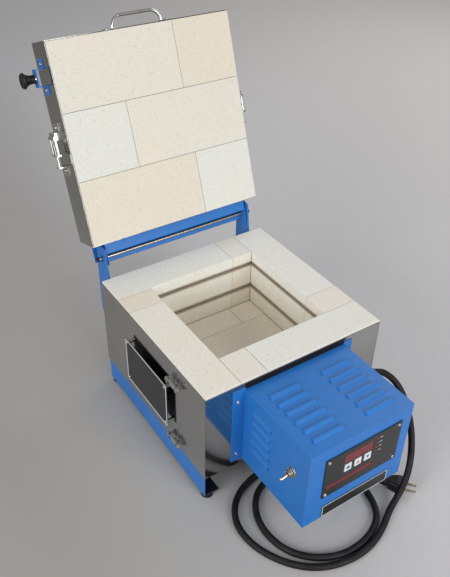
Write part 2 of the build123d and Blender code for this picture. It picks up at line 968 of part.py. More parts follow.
def bracket_rivets():
    """Rivet heads along the bracket's front panel."""
    heads = []
    level = -case_sheet - 3 * bracket_sheet
    for share in rivet_shares:
        place = lid_point(share * bracket_half, level, bracket_foot[0])
        heads.append(pan_screw(place, (0, 0, -1), rivet_radius, bracket_rivet_head))
    return heads


# Lid

def lid_bricks(row):
    """A course of the lid's bricks, counted from the hinge edge, on the closed lid."""
    y1 = body_half - row * brick_width
    pieces = course(y1 - brick_width + brick_joint, lid_face, row != 1)
    flip = Plane(origin=(0, 0, lid_face + brick_thickness / 2), z_dir=(0, 0, 1))
    return [mirror(piece, about=flip) for piece in pieces]


def lid_band():
    """The steel band round the lid's edge."""
    top = lid_top + case_clearance + cover_thickness
    band = square_ring(case_outer, case_sheet, lid_face + band_start, top)
    return fillet(band.edges().filter_by(Axis.Z), case_sheet / 3)


def lid_cover():
    """The thin steel cover over the lid's bricks, inside the band."""
    half = body_half
    base = lid_top + case_clearance
    return block(-half, half, -half, half, base, base + cover_thickness)


def lid_handle():
    """A bent rod on the front of the lid with a flattened tab at each foot."""
    left = handle_middle - handle_span / 2
    right = handle_middle + handle_span / 2
    foot = -case_outer
    reach = foot - handle_reach
    level = lid_face + handle_depth
    path = FilletPolyline(
        (left, foot, level), (left, reach, level), (right, reach, level), (right, foot, level),
        radius=handle_corner)
    solid = sweep(Plane(origin=path @ 0, z_dir=path % 0) * Circle(handle_radius), path=path)
    for foot_x, side in ((left, -1), (right, 1)):
        x0, x1 = sorted((foot_x - side * handle_radius, foot_x + side * tab_length))
        solid += block(x0, x1, foot - tab_thickness, foot, level - tab_width / 2, level + tab_width / 2)
    return solid


def handle_screws():
    """A screw through each of the handle's tabs."""
    heads = []
    for side in (-1, 1):
        x = handle_middle + side * (handle_span / 2 + tab_screw_place)
        place = (x, -case_outer - tab_thickness, lid_face + handle_depth)
        heads.append(pan_screw(place, (0, -1, 0)))
    return heads


def knob_bracket():
    """A hat-shaped strap on the left of the lid."""
    near = strap_depth - strap_width / 2
    far = strap_depth + strap_width / 2
    foot = -case_outer
    crown = foot - strap_rise
    solid = lid_block(foot - strap_sheet, foot, strap_near, strap_near + strap_ear, near, far)
    solid += lid_block(foot - strap_sheet, foot, strap_far - strap_ear, strap_far, near, far)
    solid += lid_block(
        crown, crown + strap_sheet, strap_near + strap_ear - strap_sheet,
        strap_far - strap_ear + strap_sheet, near, far)
    for edge in (strap_near + strap_ear - strap_sheet, strap_far - strap_ear):
        solid += lid_block(crown, foot, edge, edge + strap_sheet, near, far)
    return solid


def knob_bracket_screws():
    """A screw through each ear of the knob's bracket."""
    heads = []
    for u in (strap_near + strap_ear / 2, strap_far - strap_ear / 2):
        heads.append(pan_screw(lid_point(-case_outer - strap_sheet, u, strap_depth), (-1, 0, 0)))
    return heads


def knob_place():
    """Where the knob stands on its bracket."""
    return Plane(
        origin=lid_point(-case_outer - strap_rise, (strap_near + strap_far) / 2, strap_depth),
        z_dir=(-1, 0, 0)).location


def lid_knob():
    """The flared black knob."""
    outline = Polyline(
        (knob_base_radius, 0, ferrule_length), (0, 0, ferrule_length), (0, 0, knob_length),
        (knob_rim_radius - knob_rim_bevel, 0, knob_length), (knob_rim_radius, 0, knob_rim_start))
    flare = ThreePointArc(
        (knob_rim_radius, 0, knob_rim_start), (knob_waist[0], 0, knob_waist[1]),
        (knob_base_radius, 0, ferrule_length))
    return knob_place() * revolve(make_face(outline + flare), Axis.Z)


def knob_ferrule():
    """The metal collar under the knob."""
    low = (Align.CENTER, Align.CENTER, Align.MIN)
    return knob_place() * Cylinder(ferrule_radius, ferrule_length, align=low)


def lid_clamp(side):
    """The strap clamp on one side of the lid: two plates, a knuckle, a pair of bars and a draw bolt."""
    wall = side * case_outer
    line = side * (case_outer + lid_clamp_offset)
    length, width = lid_clamp_plate
    middle = lid_clamp_depths[side]
    x0, x1 = sorted((wall, wall + side * clamp_sheet))
    plates = [
        lid_block(x0, x1, u - length / 2, u + length / 2, middle - width / 2, middle + width / 2)
        for u in lid_clamp_plates]
    near_edge = lid_clamp_plates[0] + length / 2
    far_edge = lid_clamp_plates[1] - length / 2
    knuckle = far_edge - lid_clamp_knuckle_gap
    low = knuckle - lid_clamp_bar_span
    x0, x1 = sorted((wall, line))
    n0 = middle - width / 2
    n1 = middle + width / 2
    upper = plates[1] + lid_block(
        x0, x1, knuckle - lid_clamp_knuckle_radius, far_edge + clamp_sheet, n0, n1)
    upper += bar(lid_point(line, knuckle, n0), lid_point(line, knuckle, n1), lid_clamp_knuckle_radius)
    for turn in (-1, 1):
        n = middle + turn * lid_clamp_bar_half
        upper += bar(lid_point(line, low, n), lid_point(line, knuckle, n), lid_clamp_bar_radius)
    reach = lid_clamp_bar_half + lid_clamp_knuckle_radius
    x0, x1 = sorted((line - side * lid_clamp_knuckle_radius, line + side * lid_clamp_knuckle_radius))
    upper += lid_block(x0, x1, low - lid_clamp_yoke, low, middle - reach, middle + reach)
    x0, x1 = sorted((wall, line + side * lid_clamp_knuckle_radius))
    lower = plates[0] + lid_block(
        x0, x1, near_edge - clamp_sheet, near_edge,
        middle - lid_clamp_lug_half, middle + lid_clamp_lug_half)
    bolt_end = knuckle - lid_clamp_bolt_end
    bolt = bar(
        lid_point(line, near_edge - clamp_sheet, middle), lid_point(line, bolt_end, middle),
        lid_clamp_bolt_radius)
    return fused([upper, lower, bolt])


def fused(pieces):
    """One solid from pieces that are welded together."""
    solid = pieces[0]
    for piece in pieces[1:]:
        solid = solid + piece
    return solid


def lid_clamp_screws():
    """A screw through each of the lid clamps' plates."""
    heads = []
    for side in (-1, 1):
        for u in lid_clamp_plates:
            place = lid_point(side * (case_outer + clamp_sheet), u, lid_clamp_depths[side])
            heads.append(pan_screw(place, (side, 0, 0)))
    return heads


# Cord

def strain_relief():
    """The gland on the controller's right wall, with its boot that tapers along the cord's first run."""
    start = Vector(*cord_points[0])
    run = (Vector(*cord_points[1]) - start).normalized()
    back = (start.X - box_right - gland_thickness) / run.X
    root = start - run * back
    disc = bar(
        (box_right, root.Y, root.Z), (box_right + gland_thickness, root.Y, root.Z), gland_radius)
    length = back + boot_reach
    low = (Align.CENTER, Align.CENTER, Align.MIN)
    boot = Plane(origin=root, z_dir=run).location * Cone(
        boot_root_radius, boot_tip_radius, length, align=low)
    bore = bar(tuple(start), tuple(start + run * (boot_reach + 1)), cord_radius + boot_clearance)
    return disc + boot - bore


def cord_path():
    """The cord's middle line: straight runs joined by arcs as large as the runs allow."""
    radii = []
    for before, here, after in zip(cord_points, cord_points[1:], cord_points[2:]):
        run_in = Vector(*here) - Vector(*before)
        run_out = Vector(*after) - Vector(*here)
        turn = math.radians(run_in.get_angle(run_out))
        radii.append(cord_arc_share * min(run_in.length, run_out.length) / math.tan(turn / 2))
    print("cord radii", [round(radius, 1) for radius in radii])
    return FilletPolyline(*cord_points, radius=radii)


def power_cord():
    """The cord from its boot to the plug."""
    path = cord_path()
    section = Plane(origin=path @ 0, z_dir=path % 0) * Circle(cord_radius)
    solid = sweep(section, path=path)
    print("cord length", round(path.length, 1))
    return solid


def plug_frame():
    """A plane at the plug's back, looking along it."""
    end = Vector(*cord_points[-1])
    run = end - Vector(*cord_points[-2])
    flat = Vector(run.X, run.Y, 0).normalized()
    across = Vector(-flat.Y, flat.X, 0)
    return end, run.normalized(), flat, across


def plug_body():
    """The moulded plug: a round neck that widens into a flat-sided body."""
    end, run, flat, across = plug_frame()
    neck_end = end + run * plug_neck
    body_start = Vector(neck_end.X, neck_end.Y, plug_depth / 2)
    neck = bar(tuple(end), tuple(end + run * (plug_neck + plug_corner)), plug_neck_radius)
    base = Plane(origin=body_start, x_dir=across, z_dir=flat)
    tip = Plane(origin=body_start + flat * plug_length, x_dir=across, z_dir=flat)
    middle = Plane(origin=body_start + flat * plug_length * plug_waist_share, x_dir=across, z_dir=flat)
    rear = base * RectangleRounded(plug_rear_width, plug_rear_depth, plug_corner)
    waist = middle * RectangleRounded(plug_width, plug_depth, plug_corner)
    face = tip * RectangleRounded(plug_width, plug_depth, plug_corner)
    return neck + loft([rear, waist], ruled=True) + loft([waist, face], ruled=True)


def plug_blades():
    """The two flat blades on the plug's face."""
    end, run, flat, across = plug_frame()
    neck_end = end + run * plug_neck
    root = Vector(neck_end.X, neck_end.Y, plug_depth / 2) + flat * plug_length
    blades = []
    for side in (-1, 1):
        place = Plane(origin=root + across * (side * blade_spacing / 2), x_dir=across, z_dir=flat)
        outline = place * Rectangle(blade_thickness, blade_width)
        blade = extrude(outline, amount=blade_length, dir=tuple(flat))
        hole = place.origin + flat * (blade_length - blade_hole_inset)
        blade -= bar(
            tuple(hole - across * blade_thickness), tuple(hole + across * blade_thickness),
            blade_hole_radius)
        blades.append(blade)
    return blades


# Every piece, by name

def build():
    """All the pieces at rest, with the lid open."""
    long_bricks, short_bricks = wall_bricks()
    pieces = {
        "stand_channel_left": stand_channel(-1),
        "stand_channel_right": stand_channel(1),
        "stand_rails": [stand_rail(-1), stand_rail(1)],
        "rubber_feet": rubber_feet(),
        "bottom_pan": bottom_pan(),
        "case_wrap": case_wrap(),
        "floor_bricks": floor_bricks(),
        "wall_cut_bricks": short_bricks,
        "heating_element_upper": element(groove_drops[0]),
        "heating_element_lower": element(groove_drops[1]),
        "element_insulators": element_insulators(),
        "element_connectors": element_connectors(),
        "thermocouple": thermocouple(),
        "controller_wrap": controller_wrap(),
        "controller_front": controller_front(),
        "heat_baffle": heat_baffle(),
        "relay": on_baffle(relay_place, relay_size),
        "transformer": transformer(),
        "control_faceplate": control_faceplate(),
        "faceplate_screws": faceplate_screws(),
        "display_window": display_box(box_front, plate_front - panel_gap, 0),
        "indicator_lamps": indicator_lamps(),
        "circuit_board": circuit_board(),
        "board_spacers": board_spacers(),
        "badge_plate": badge(),
        "toggle_switch_body": toggle_switch(),
        "toggle_nut": toggle_nut(),
        "toggle_lever": toggle_lever(),
        "nameplate": nameplate(),
        "nameplate_standoffs": nameplate_standoffs(),
        "case_clamps": case_clamp(case_clamp_levels[0]) + case_clamp(case_clamp_levels[1]),
        "hinge_post_left": hinge_post(-1),
        "hinge_post_right": hinge_post(1),
        "case_screws": flange_screws() + post_screws() + nameplate_screws(),
        "strain_relief": strain_relief(),
        "power_cord": power_cord(),
        "plug_body": plug_body(),
        "plug_blades": plug_blades(),
    }
    for name, solid in long_bricks.items():
        pieces["wall_brick_" + name] = solid
    for name, x in zip(("left", "middle", "right"), key_places()):
        pieces["control_key_" + name] = control_key(x)
    lid = {
        "hinge_rod": hinge_rod(),
        "hinge_rod_caps": rod_caps(),
        "lid_hinge_bracket": lid_hinge_bracket(),
        "lid_bricks_rear": lid_bricks(0),
        "lid_bricks_middle": lid_bricks(1),
        "lid_bricks_front": lid_bricks(2),
        "lid_band": lid_band(),
        "lid_cover": lid_cover(),
        "lid_handle": lid_handle(),
        "knob_bracket": knob_bracket(),
        "lid_knob": lid_knob(),
        "knob_ferrule": knob_ferrule(),
        "lid_clamp_left": lid_clamp(-1),
        "lid_clamp_right": lid_clamp(1),
        "lid_screws": lid_clamp_screws() + knob_bracket_screws() + handle_screws() + bracket_rivets(),
    }
    for name, made in lid.items():
        pieces[name] = [opened(solid) for solid in made] if isinstance(made, list) else opened(made)
    return pieces


def write(pieces):
    """One STEP file for each piece or group of like pieces."""
    os.makedirs("parts", exist_ok=True)
    for name, made in pieces.items():
        shape = Compound(children=made) if isinstance(made, list) else made
        export_step(shape, "parts/" + name + ".step")


write(build())
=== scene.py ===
import itertools
import math
import bmesh
import bpy
from mathutils import Matrix, Vector


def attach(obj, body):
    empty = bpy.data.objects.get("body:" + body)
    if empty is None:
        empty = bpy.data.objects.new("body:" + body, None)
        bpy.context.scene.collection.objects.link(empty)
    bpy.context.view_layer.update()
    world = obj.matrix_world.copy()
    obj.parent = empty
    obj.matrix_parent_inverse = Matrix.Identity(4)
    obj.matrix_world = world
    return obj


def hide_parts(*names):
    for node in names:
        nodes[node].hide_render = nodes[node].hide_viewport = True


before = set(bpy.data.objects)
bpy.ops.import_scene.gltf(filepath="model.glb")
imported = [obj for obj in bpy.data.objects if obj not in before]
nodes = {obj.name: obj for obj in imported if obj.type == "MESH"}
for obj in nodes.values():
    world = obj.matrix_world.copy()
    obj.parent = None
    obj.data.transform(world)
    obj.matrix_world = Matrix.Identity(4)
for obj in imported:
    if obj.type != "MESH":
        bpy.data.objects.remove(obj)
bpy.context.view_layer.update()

mm = 0.001


# Camera and light

kilnCamera = {
    "place": (-0.57169, -0.80415, 0.99062),
    "azimuth": 34.2188,  # degrees, looking from the front left
    "down": 36.5922,
    "roll": 1.3095,
    "lens": 45.18,
}


def makeCamera(view):
    data = bpy.data.cameras.new("kilnCamera")
    data.sensor_width = 36
    data.lens = view["lens"]
    camera = bpy.data.objects.new("kilnCamera", data)
    turn = Matrix.Rotation(-math.radians(view["azimuth"]), 4, "Z")
    turn = turn @ Matrix.Rotation(math.pi / 2 - math.radians(view["down"]), 4, "X")
    turn = turn @ Matrix.Rotation(math.radians(view["roll"]), 4, "Z")
    camera.matrix_world = Matrix.Translation(view["place"]) @ turn
    bpy.context.scene.collection.objects.link(camera)
    bpy.context.scene.camera = camera


makeCamera(kilnCamera)

studio = {
    "ambient": 0.34,  # strength of the even light all round
    "lamps": {  # place, aim, width, watts
        "softboxFront": ((0.25, -2.6, 1.2), (0.0, 0.0, 0.2), 1.6, 45.0),
        "softboxLeft": ((-2.6, -0.6, 1.2), (0.0, 0.0, 0.2), 1.5, 43.0),
        "softboxRight": ((2.2, 0.7, 1.9), (0.2, 0.1, 0.1), 1.5, 16.0),
    },
}


def makeStudio(settings):
    scene = bpy.context.scene
    scene.view_settings.view_transform = "Standard"
    world = bpy.data.worlds.new("studioAir")
    world.use_nodes = True
    world.node_tree.nodes["Background"].inputs["Color"].default_value = (1.0, 1.0, 1.0, 1.0)
    world.node_tree.nodes["Background"].inputs["Strength"].default_value = settings["ambient"]
    scene.world = world
    for name, (place, aim, width, watts) in settings["lamps"].items():
        data = bpy.data.lights.new(name, "AREA")
        data.shape = "SQUARE"
        data.size = width
        data.energy = watts
        lamp = bpy.data.objects.new(name, data)
        way = Vector(aim) - Vector(place)
        lamp.matrix_world = Matrix.Translation(place) @ way.to_track_quat("-Z", "Y").to_matrix().to_4x4()
        scene.collection.objects.link(lamp)


makeStudio(studio)
print("camera and lamps set")


# Node helpers

def fill(tree, socket, value):
    if isinstance(value, bpy.types.NodeSocket):
        tree.links.new(value, socket)
    else:
        socket.default_value = value


def addNode(tree, kind, plugs=None, **settings):
    node = tree.nodes.new(kind)
    for key, value in settings.items():
        setattr(node, key, value)
    for key, value in (plugs or {}).items():
        fill(tree, node.inputs[key], value)
    return node


def startGroup(name, inputs, outputs):
    tree = bpy.data.node_groups.new(name, "ShaderNodeTree")
    kinds = {"color": "NodeSocketColor", "value": "NodeSocketFloat", "vector": "NodeSocketVector"}
    for label, kind, start in inputs:
        socket = tree.interface.new_socket(name=label, in_out="INPUT", socket_type=kinds[kind])
        socket.default_value = start
    for label, kind in outputs:
        tree.interface.new_socket(name=label, in_out="OUTPUT", socket_type=kinds[kind])
    return tree, tree.nodes.new("NodeGroupInput"), tree.nodes.new("NodeGroupOutput")


def useGroup(tree, group, plugs):
    node = tree.nodes.new("ShaderNodeGroup")
    node.node_tree = group
    for key, value in plugs.items():
        fill(tree, node.inputs[key], value)
    return node


def mixColors(tree, amount, first, second, blend="MIX"):
    node = tree.nodes.new("ShaderNodeMix")
    node.data_type = "RGBA"
    node.blend_type = blend
    fill(tree, node.inputs[0], amount)
    fill(tree, node.inputs[6], first)
    fill(tree, node.inputs[7], second)
    return node.outputs[2]


def doMath(tree, operation, first, second=0.0, clamp=False):
    node = addNode(tree, "ShaderNodeMath", {0: first, 1: second}, operation=operation, use_clamp=clamp)
    return node.outputs[0]


def spread(tree, value, low, high, outLow=0.0, outHigh=1.0):
    plugs = {"Value": value, "From Min": low, "From Max": high, "To Min": outLow, "To Max": outHigh}
    return addNode(tree, "ShaderNodeMapRange", plugs).outputs[0]


def objectPlace(tree):
    return addNode(tree, "ShaderNodeTexCoord").outputs["Object"]


def axisOf(tree, vector, axis):
    return addNode(tree, "ShaderNodeSeparateXYZ", {0: vector}).outputs[axis]


def shade(red, green, blue):
    parts = []
    for part in (red / 255, green / 255, blue / 255):
        parts.append(part / 12.92 if part <= 0.04045 else ((part + 0.055) / 1.055) ** 2.4)
    return (*parts, 1.0)


# Shared effects

def makeEasedEdge():
    tree, given, out = startGroup(
        "easedEdge", [("Radius", "value", 1.0 * mm)], [("Normal", "vector"), ("Edge", "value")])
    bevel = addNode(tree, "ShaderNodeBevel", {"Radius": given.outputs["Radius"]}, samples=6)
    plain = addNode(tree, "ShaderNodeNewGeometry")
    facing = addNode(
        tree, "ShaderNodeVectorMath", {0: bevel.outputs[0], 1: plain.outputs["True Normal"]},
        operation="DOT_PRODUCT")
    edge = spread(tree, facing.outputs["Value"], 0.995, 0.85)
    tree.links.new(bevel.outputs[0], out.inputs["Normal"])
    tree.links.new(edge, out.inputs["Edge"])
    return tree


def makeMottle():
    tree, given, out = startGroup(
        "mottle",
        [("Color", "color", (0.5, 0.5, 0.5, 1)), ("Other", "color", (0.4, 0.4, 0.4, 1)),
         ("Scale", "value", 20.0), ("Low", "value", 0.4), ("High", "value", 0.7)],
        [("Color", "color"), ("Mask", "value")])
    noise = addNode(
        tree, "ShaderNodeTexNoise",
        {"Vector": objectPlace(tree), "Scale": given.outputs["Scale"], "Detail": 5.0})
    mask = spread(tree, noise.outputs["Fac"], given.outputs["Low"], given.outputs["High"])
    mixed = mixColors(tree, mask, given.outputs["Color"], given.outputs["Other"])
    tree.links.new(mixed, out.inputs["Color"])
    tree.links.new(mask, out.inputs["Mask"])
    return tree


def makePits():
    tree, given, out = startGroup(
        "pits",
        [("Scale", "value", 400.0), ("Size", "value", 0.25), ("Share", "value", 0.5)],
        [("Mask", "value")])
    place = objectPlace(tree)
    cells = addNode(tree, "ShaderNodeTexVoronoi", {"Vector": place, "Scale": given.outputs["Scale"]})
    pit = spread(tree, cells.outputs["Distance"], given.outputs["Size"], 0.0)
    chance = addNode(
        tree, "ShaderNodeTexWhiteNoise", {"Vector": cells.outputs["Position"]}, noise_dimensions="3D")
    chosen = doMath(tree, "LESS_THAN", chance.outputs["Value"], given.outputs["Share"])
    tree.links.new(doMath(tree, "MULTIPLY", pit, chosen), out.inputs["Mask"])
    return tree


def makeFineGrain():
    tree, given, out = startGroup(
        "fineGrain",
        [("Stretch", "vector", (1.0, 1.0, 1.0)), ("Scale", "value", 500.0), ("Low", "value", 0.3),
         ("High", "value", 0.5)],
        [("Roughness", "value"), ("Height", "value")])
    place = addNode(
        tree, "ShaderNodeVectorMath", {0: objectPlace(tree), 1: given.outputs["Stretch"]},
        operation="MULTIPLY")
    noise = addNode(
        tree, "ShaderNodeTexNoise",
        {"Vector": place.outputs[0], "Scale": given.outputs["Scale"], "Detail": 3.0})
    rough = spread(tree, noise.outputs["Fac"], 0.3, 0.7, given.outputs["Low"], given.outputs["High"])
    tree.links.new(rough, out.inputs["Roughness"])
    tree.links.new(noise.outputs["Fac"], out.inputs["Height"])
    return tree


def makeSettledDust():
    tree, given, out = startGroup(
        "settledDust",
        [("Color", "color", (0.1, 0.1, 0.1, 1)), ("Dust", "color", (0.5, 0.48, 0.45, 1)),
         ("Amount", "value", 0.2)],
        [("Color", "color"), ("Mask", "value")])
    upward = axisOf(tree, addNode(tree, "ShaderNodeNewGeometry").outputs["Normal"], 2)
    noise = addNode(tree, "ShaderNodeTexNoise", {"Vector": objectPlace(tree), "Scale": 45.0, "Detail": 6.0})
    cloud = spread(tree, noise.outputs["Fac"], 0.35, 0.75)
    patch = doMath(tree, "MULTIPLY", cloud, spread(tree, upward, 0.1, 1.0))
    mask = doMath(tree, "MULTIPLY", patch, given.outputs["Amount"], clamp=True)
    mixed = mixColors(tree, mask, given.outputs["Color"], given.outputs["Dust"])
    tree.links.new(mixed, out.inputs["Color"])
    tree.links.new(mask, out.inputs["Mask"])
    return tree


easedEdge = makeEasedEdge()
mottle = makeMottle()
pits = makePits()
fineGrain = makeFineGrain()
settledDust = makeSettledDust()
print("shared effects built")


# Finishes

def newFinish(name, **sockets):
    material = bpy.data.materials.new(name)
    material.use_nodes = True
    tree = material.node_tree
    shader = tree.nodes["Principled BSDF"]
    for label, value in sockets.items():
        shader.inputs[label.replace("_", " ")].default_value = value
    return material, tree, shader


def raised(tree, height, distance, normal, strength=1.0):
    plugs = {"Height": height, "Distance": distance, "Normal": normal, "Strength": strength}
    return addNode(tree, "ShaderNodeBump", plugs).outputs["Normal"]


firebrick = {
    "edge": 0.9 * mm,
    "grain": 900.0,
    "finePits": {"Scale": 620.0, "Size": 0.55, "Share": 0.4},
    "coarsePits": {"Scale": 190.0, "Size": 0.26, "Share": 0.3},
    "speck": shade(150, 132, 108),
    "warm": shade(238, 226, 204),
    "fired": shade(250, 245, 236),
    "scorch": shade(158, 132, 102),
    # colour for dirt in the brick joints and for painted shade in the chamber's corners and element grooves
    "dirtAndShade": shade(112, 104, 96),
    "jointReach": 3.0 * mm,
    "jointSpan": (0.9, 0.45),  # openness at which a joint begins to darken and is darkest
    "jointDirtAndShade": 0.75,
    "chamberHalf": 0.1085,  # from the middle to the chamber's walls, in metres like the rest
    "wallFade": 0.012,
    "bodyTop": 0.234,
    "depthFade": (0.004, 0.085),  # below the top, where the fired tone begins and is full
    "grooves": (0.2086, 0.1578),  # levels of the two heating elements
    "grooveReach": (0.0074, 0.0034),  # where the scorch begins and is full
}


def makeBrick(name, tint, other=None, seam=0.0, fired=False, third=None, secondSeam=0.0):
    material, tree, shader = newFinish(name, Roughness=0.95)
    shader.inputs["Specular IOR Level"].default_value = 0.2
    place = objectPlace(tree)
    across = axisOf(tree, place, 0)
    color = tint
    if other:
        color = mixColors(tree, doMath(tree, "GREATER_THAN", across, seam), color, other)
    if third:
        color = mixColors(tree, doMath(tree, "GREATER_THAN", across, secondSeam), color, third)
    broad = useGroup(
        tree, mottle, {"Color": color, "Other": firebrick["warm"], "Scale": 14.0, "Low": 0.5, "High": 1.2})
    color = broad.outputs["Color"]
    fine = useGroup(tree, pits, firebrick["finePits"])
    coarse = useGroup(tree, pits, firebrick["coarsePits"])
    for specks, strength in ((fine, 0.4), (coarse, 0.6)):
        amount = doMath(tree, "MULTIPLY", specks.outputs["Mask"], strength)
        color = mixColors(tree, amount, color, firebrick["speck"])
    if fired:
        span = addNode(tree, "ShaderNodeVectorMath", {0: place}, operation="ABSOLUTE").outputs[0]
        wide = doMath(tree, "MAXIMUM", axisOf(tree, span, 0), axisOf(tree, span, 1))
        height = axisOf(tree, place, 2)
        half, top = firebrick["chamberHalf"], firebrick["bodyTop"]
        start, full = firebrick["depthFade"]
        inside = spread(tree, wide, half + firebrick["wallFade"], half)
        below = spread(tree, height, top - start, top - full)
        toned = doMath(tree, "MULTIPLY", inside, below)
        color = mixColors(tree, toned, color, firebrick["fired"], "MULTIPLY")
        far, close = firebrick["grooveReach"]
        for level in firebrick["grooves"]:
            near = doMath(tree, "ABSOLUTE", doMath(tree, "SUBTRACT", height, level))
            scorched = doMath(tree, "MULTIPLY", spread(tree, near, far, close), inside)
            color = mixColors(tree, doMath(tree, "MULTIPLY", scorched, 0.7), color, firebrick["scorch"])
    # darkened where the surface is hemmed in: dirt in the joints between bricks, and painted shade in the
    # chamber's corners and around the coils in their grooves
    joint = addNode(tree, "ShaderNodeAmbientOcclusion", {"Distance": firebrick["jointReach"]}, samples=8)
    closed = spread(tree, joint.outputs["AO"], *firebrick["jointSpan"])
    dirtAndShade = doMath(tree, "MULTIPLY", closed, firebrick["jointDirtAndShade"])
    color = mixColors(tree, dirtAndShade, color, firebrick["dirtAndShade"])
    tree.links.new(color, shader.inputs["Base Color"])
    eased = useGroup(tree, easedEdge, {"Radius": firebrick["edge"]})
    grain = useGroup(tree, fineGrain, {"Scale": firebrick["grain"]})
    normal = raised(tree, grain.outputs["Height"], 0.3 * mm, eased.outputs["Normal"], 0.6)
    normal = raised(tree, doMath(tree, "SUBTRACT", 1.0, fine.outputs["Mask"]), 0.2 * mm, normal, 0.5)
    tree.links.new(normal, shader.inputs["Normal"])
    return material


paintWear = {
    "edge": 1.0 * mm,
    "peel": 900.0,
    "rubbed": shade(150, 178, 214),
    "dust": shade(190, 190, 186),
    "bare": shade(20, 26, 38),  # painted shade on the inner side of the stand's channels
}


def makePaint(name, color, deep, roughness, dust, lining=None):
    material, tree, shader = newFinish(name, Coat_Weight=0.15, Coat_Roughness=0.25, Specular_IOR_Level=0.4)
    eased = useGroup(tree, easedEdge, {"Radius": paintWear["edge"]})
    cloud = useGroup(tree, mottle, {"Color": color, "Other": deep, "Scale": 9.0, "Low": 0.35, "High": 0.9})
    patch = spread(tree, cloud.outputs["Mask"], 0.1, 0.9, 0.05, 0.3)
    worn = doMath(tree, "MULTIPLY", eased.outputs["Edge"], patch)
    rubbed = mixColors(tree, worn, cloud.outputs["Color"], paintWear["rubbed"])
    dusty = useGroup(tree, settledDust, {"Color": rubbed, "Dust": paintWear["dust"], "Amount": dust})
    toned = dusty.outputs["Color"]
    # painted shade: paint within this half-width across, the inside of the stand's channels, is darkened to
    # the shade under the kiln
    if lining:
        side = doMath(tree, "ABSOLUTE", axisOf(tree, objectPlace(tree), 0))
        toned = mixColors(tree, doMath(tree, "LESS_THAN", side, lining), toned, paintWear["bare"])
    tree.links.new(toned, shader.inputs["Base Color"])
    grain = useGroup(
        tree, fineGrain, {"Scale": paintWear["peel"], "Low": roughness - 0.05, "High": roughness + 0.08})
    dull = doMath(tree, "MULTIPLY", dusty.outputs["Mask"], 0.4)
    tree.links.new(doMath(tree, "ADD", grain.outputs["Roughness"], dull), shader.inputs["Roughness"])
    normal = raised(tree, grain.outputs["Height"], 0.06 * mm, eased.outputs["Normal"], 0.5)
    tree.links.new(normal, shader.inputs["Normal"])
    return material


softEdge = 0.6 * mm  # how far edges look rounded on metal and plastic


def makeMetal(name, color, deep, roughness, stretch=(1.0, 1.0, 1.0), scale=60.0, wave=0.02, rim=None):
    material, tree, shader = newFinish(name, Metallic=1.0)
    eased = useGroup(tree, easedEdge, {"Radius": softEdge})
    cloud = useGroup(tree, mottle, {"Color": color, "Other": deep, "Scale": 7.0, "Low": 0.4, "High": 0.8})
    brush = useGroup(
        tree, fineGrain,
        {"Stretch": stretch, "Scale": scale, "Low": roughness * 0.75, "High": roughness * 1.4})
    smear = doMath(tree, "MULTIPLY", cloud.outputs["Mask"], roughness * 0.5)
    color = cloud.outputs["Color"]
    if rim:
        color = mixColors(tree, eased.outputs["Edge"], color, rim)
    tree.links.new(color, shader.inputs["Base Color"])
    tree.links.new(doMath(tree, "ADD", brush.outputs["Roughness"], smear), shader.inputs["Roughness"])
    normal = raised(tree, brush.outputs["Height"], wave * mm, eased.outputs["Normal"])
    tree.links.new(normal, shader.inputs["Normal"])
    return material


def makeMoulded(name, color, pale, roughness, grain, depth, dust, level=0.5):
    material, tree, shader = newFinish(name)
    shader.inputs["Specular IOR Level"].default_value = level
    eased = useGroup(tree, easedEdge, {"Radius": softEdge})
    cloud = useGroup(tree, mottle, {"Color": color, "Other": pale, "Scale": 60.0, "Low": 0.5, "High": 1.0})
    worn = doMath(tree, "MULTIPLY", eased.outputs["Edge"], 0.35)
    rubbed = mixColors(tree, worn, cloud.outputs["Color"], pale)
    dusty = useGroup(tree, settledDust, {"Color": rubbed, "Dust": shade(150, 148, 142), "Amount": dust})
    fine = useGroup(tree, fineGrain, {"Scale": grain, "Low": roughness - 0.06, "High": roughness + 0.1})
    tree.links.new(dusty.outputs["Color"], shader.inputs["Base Color"])
    tree.links.new(fine.outputs["Roughness"], shader.inputs["Roughness"])
    normal = raised(tree, fine.outputs["Height"], depth * mm, eased.outputs["Normal"])
    tree.links.new(normal, shader.inputs["Normal"])
    return material


def makeGlow(name, color, deep, strength):
    material, tree, shader = newFinish(name, Roughness=0.12, Emission_Strength=strength)
    cloud = useGroup(tree, mottle, {"Color": color, "Other": deep, "Scale": 220.0, "Low": 0.4, "High": 0.8})
    tree.links.new(cloud.outputs["Color"], shader.inputs["Base Color"])
    tree.links.new(cloud.outputs["Color"], shader.inputs["Emission Color"])
    return material


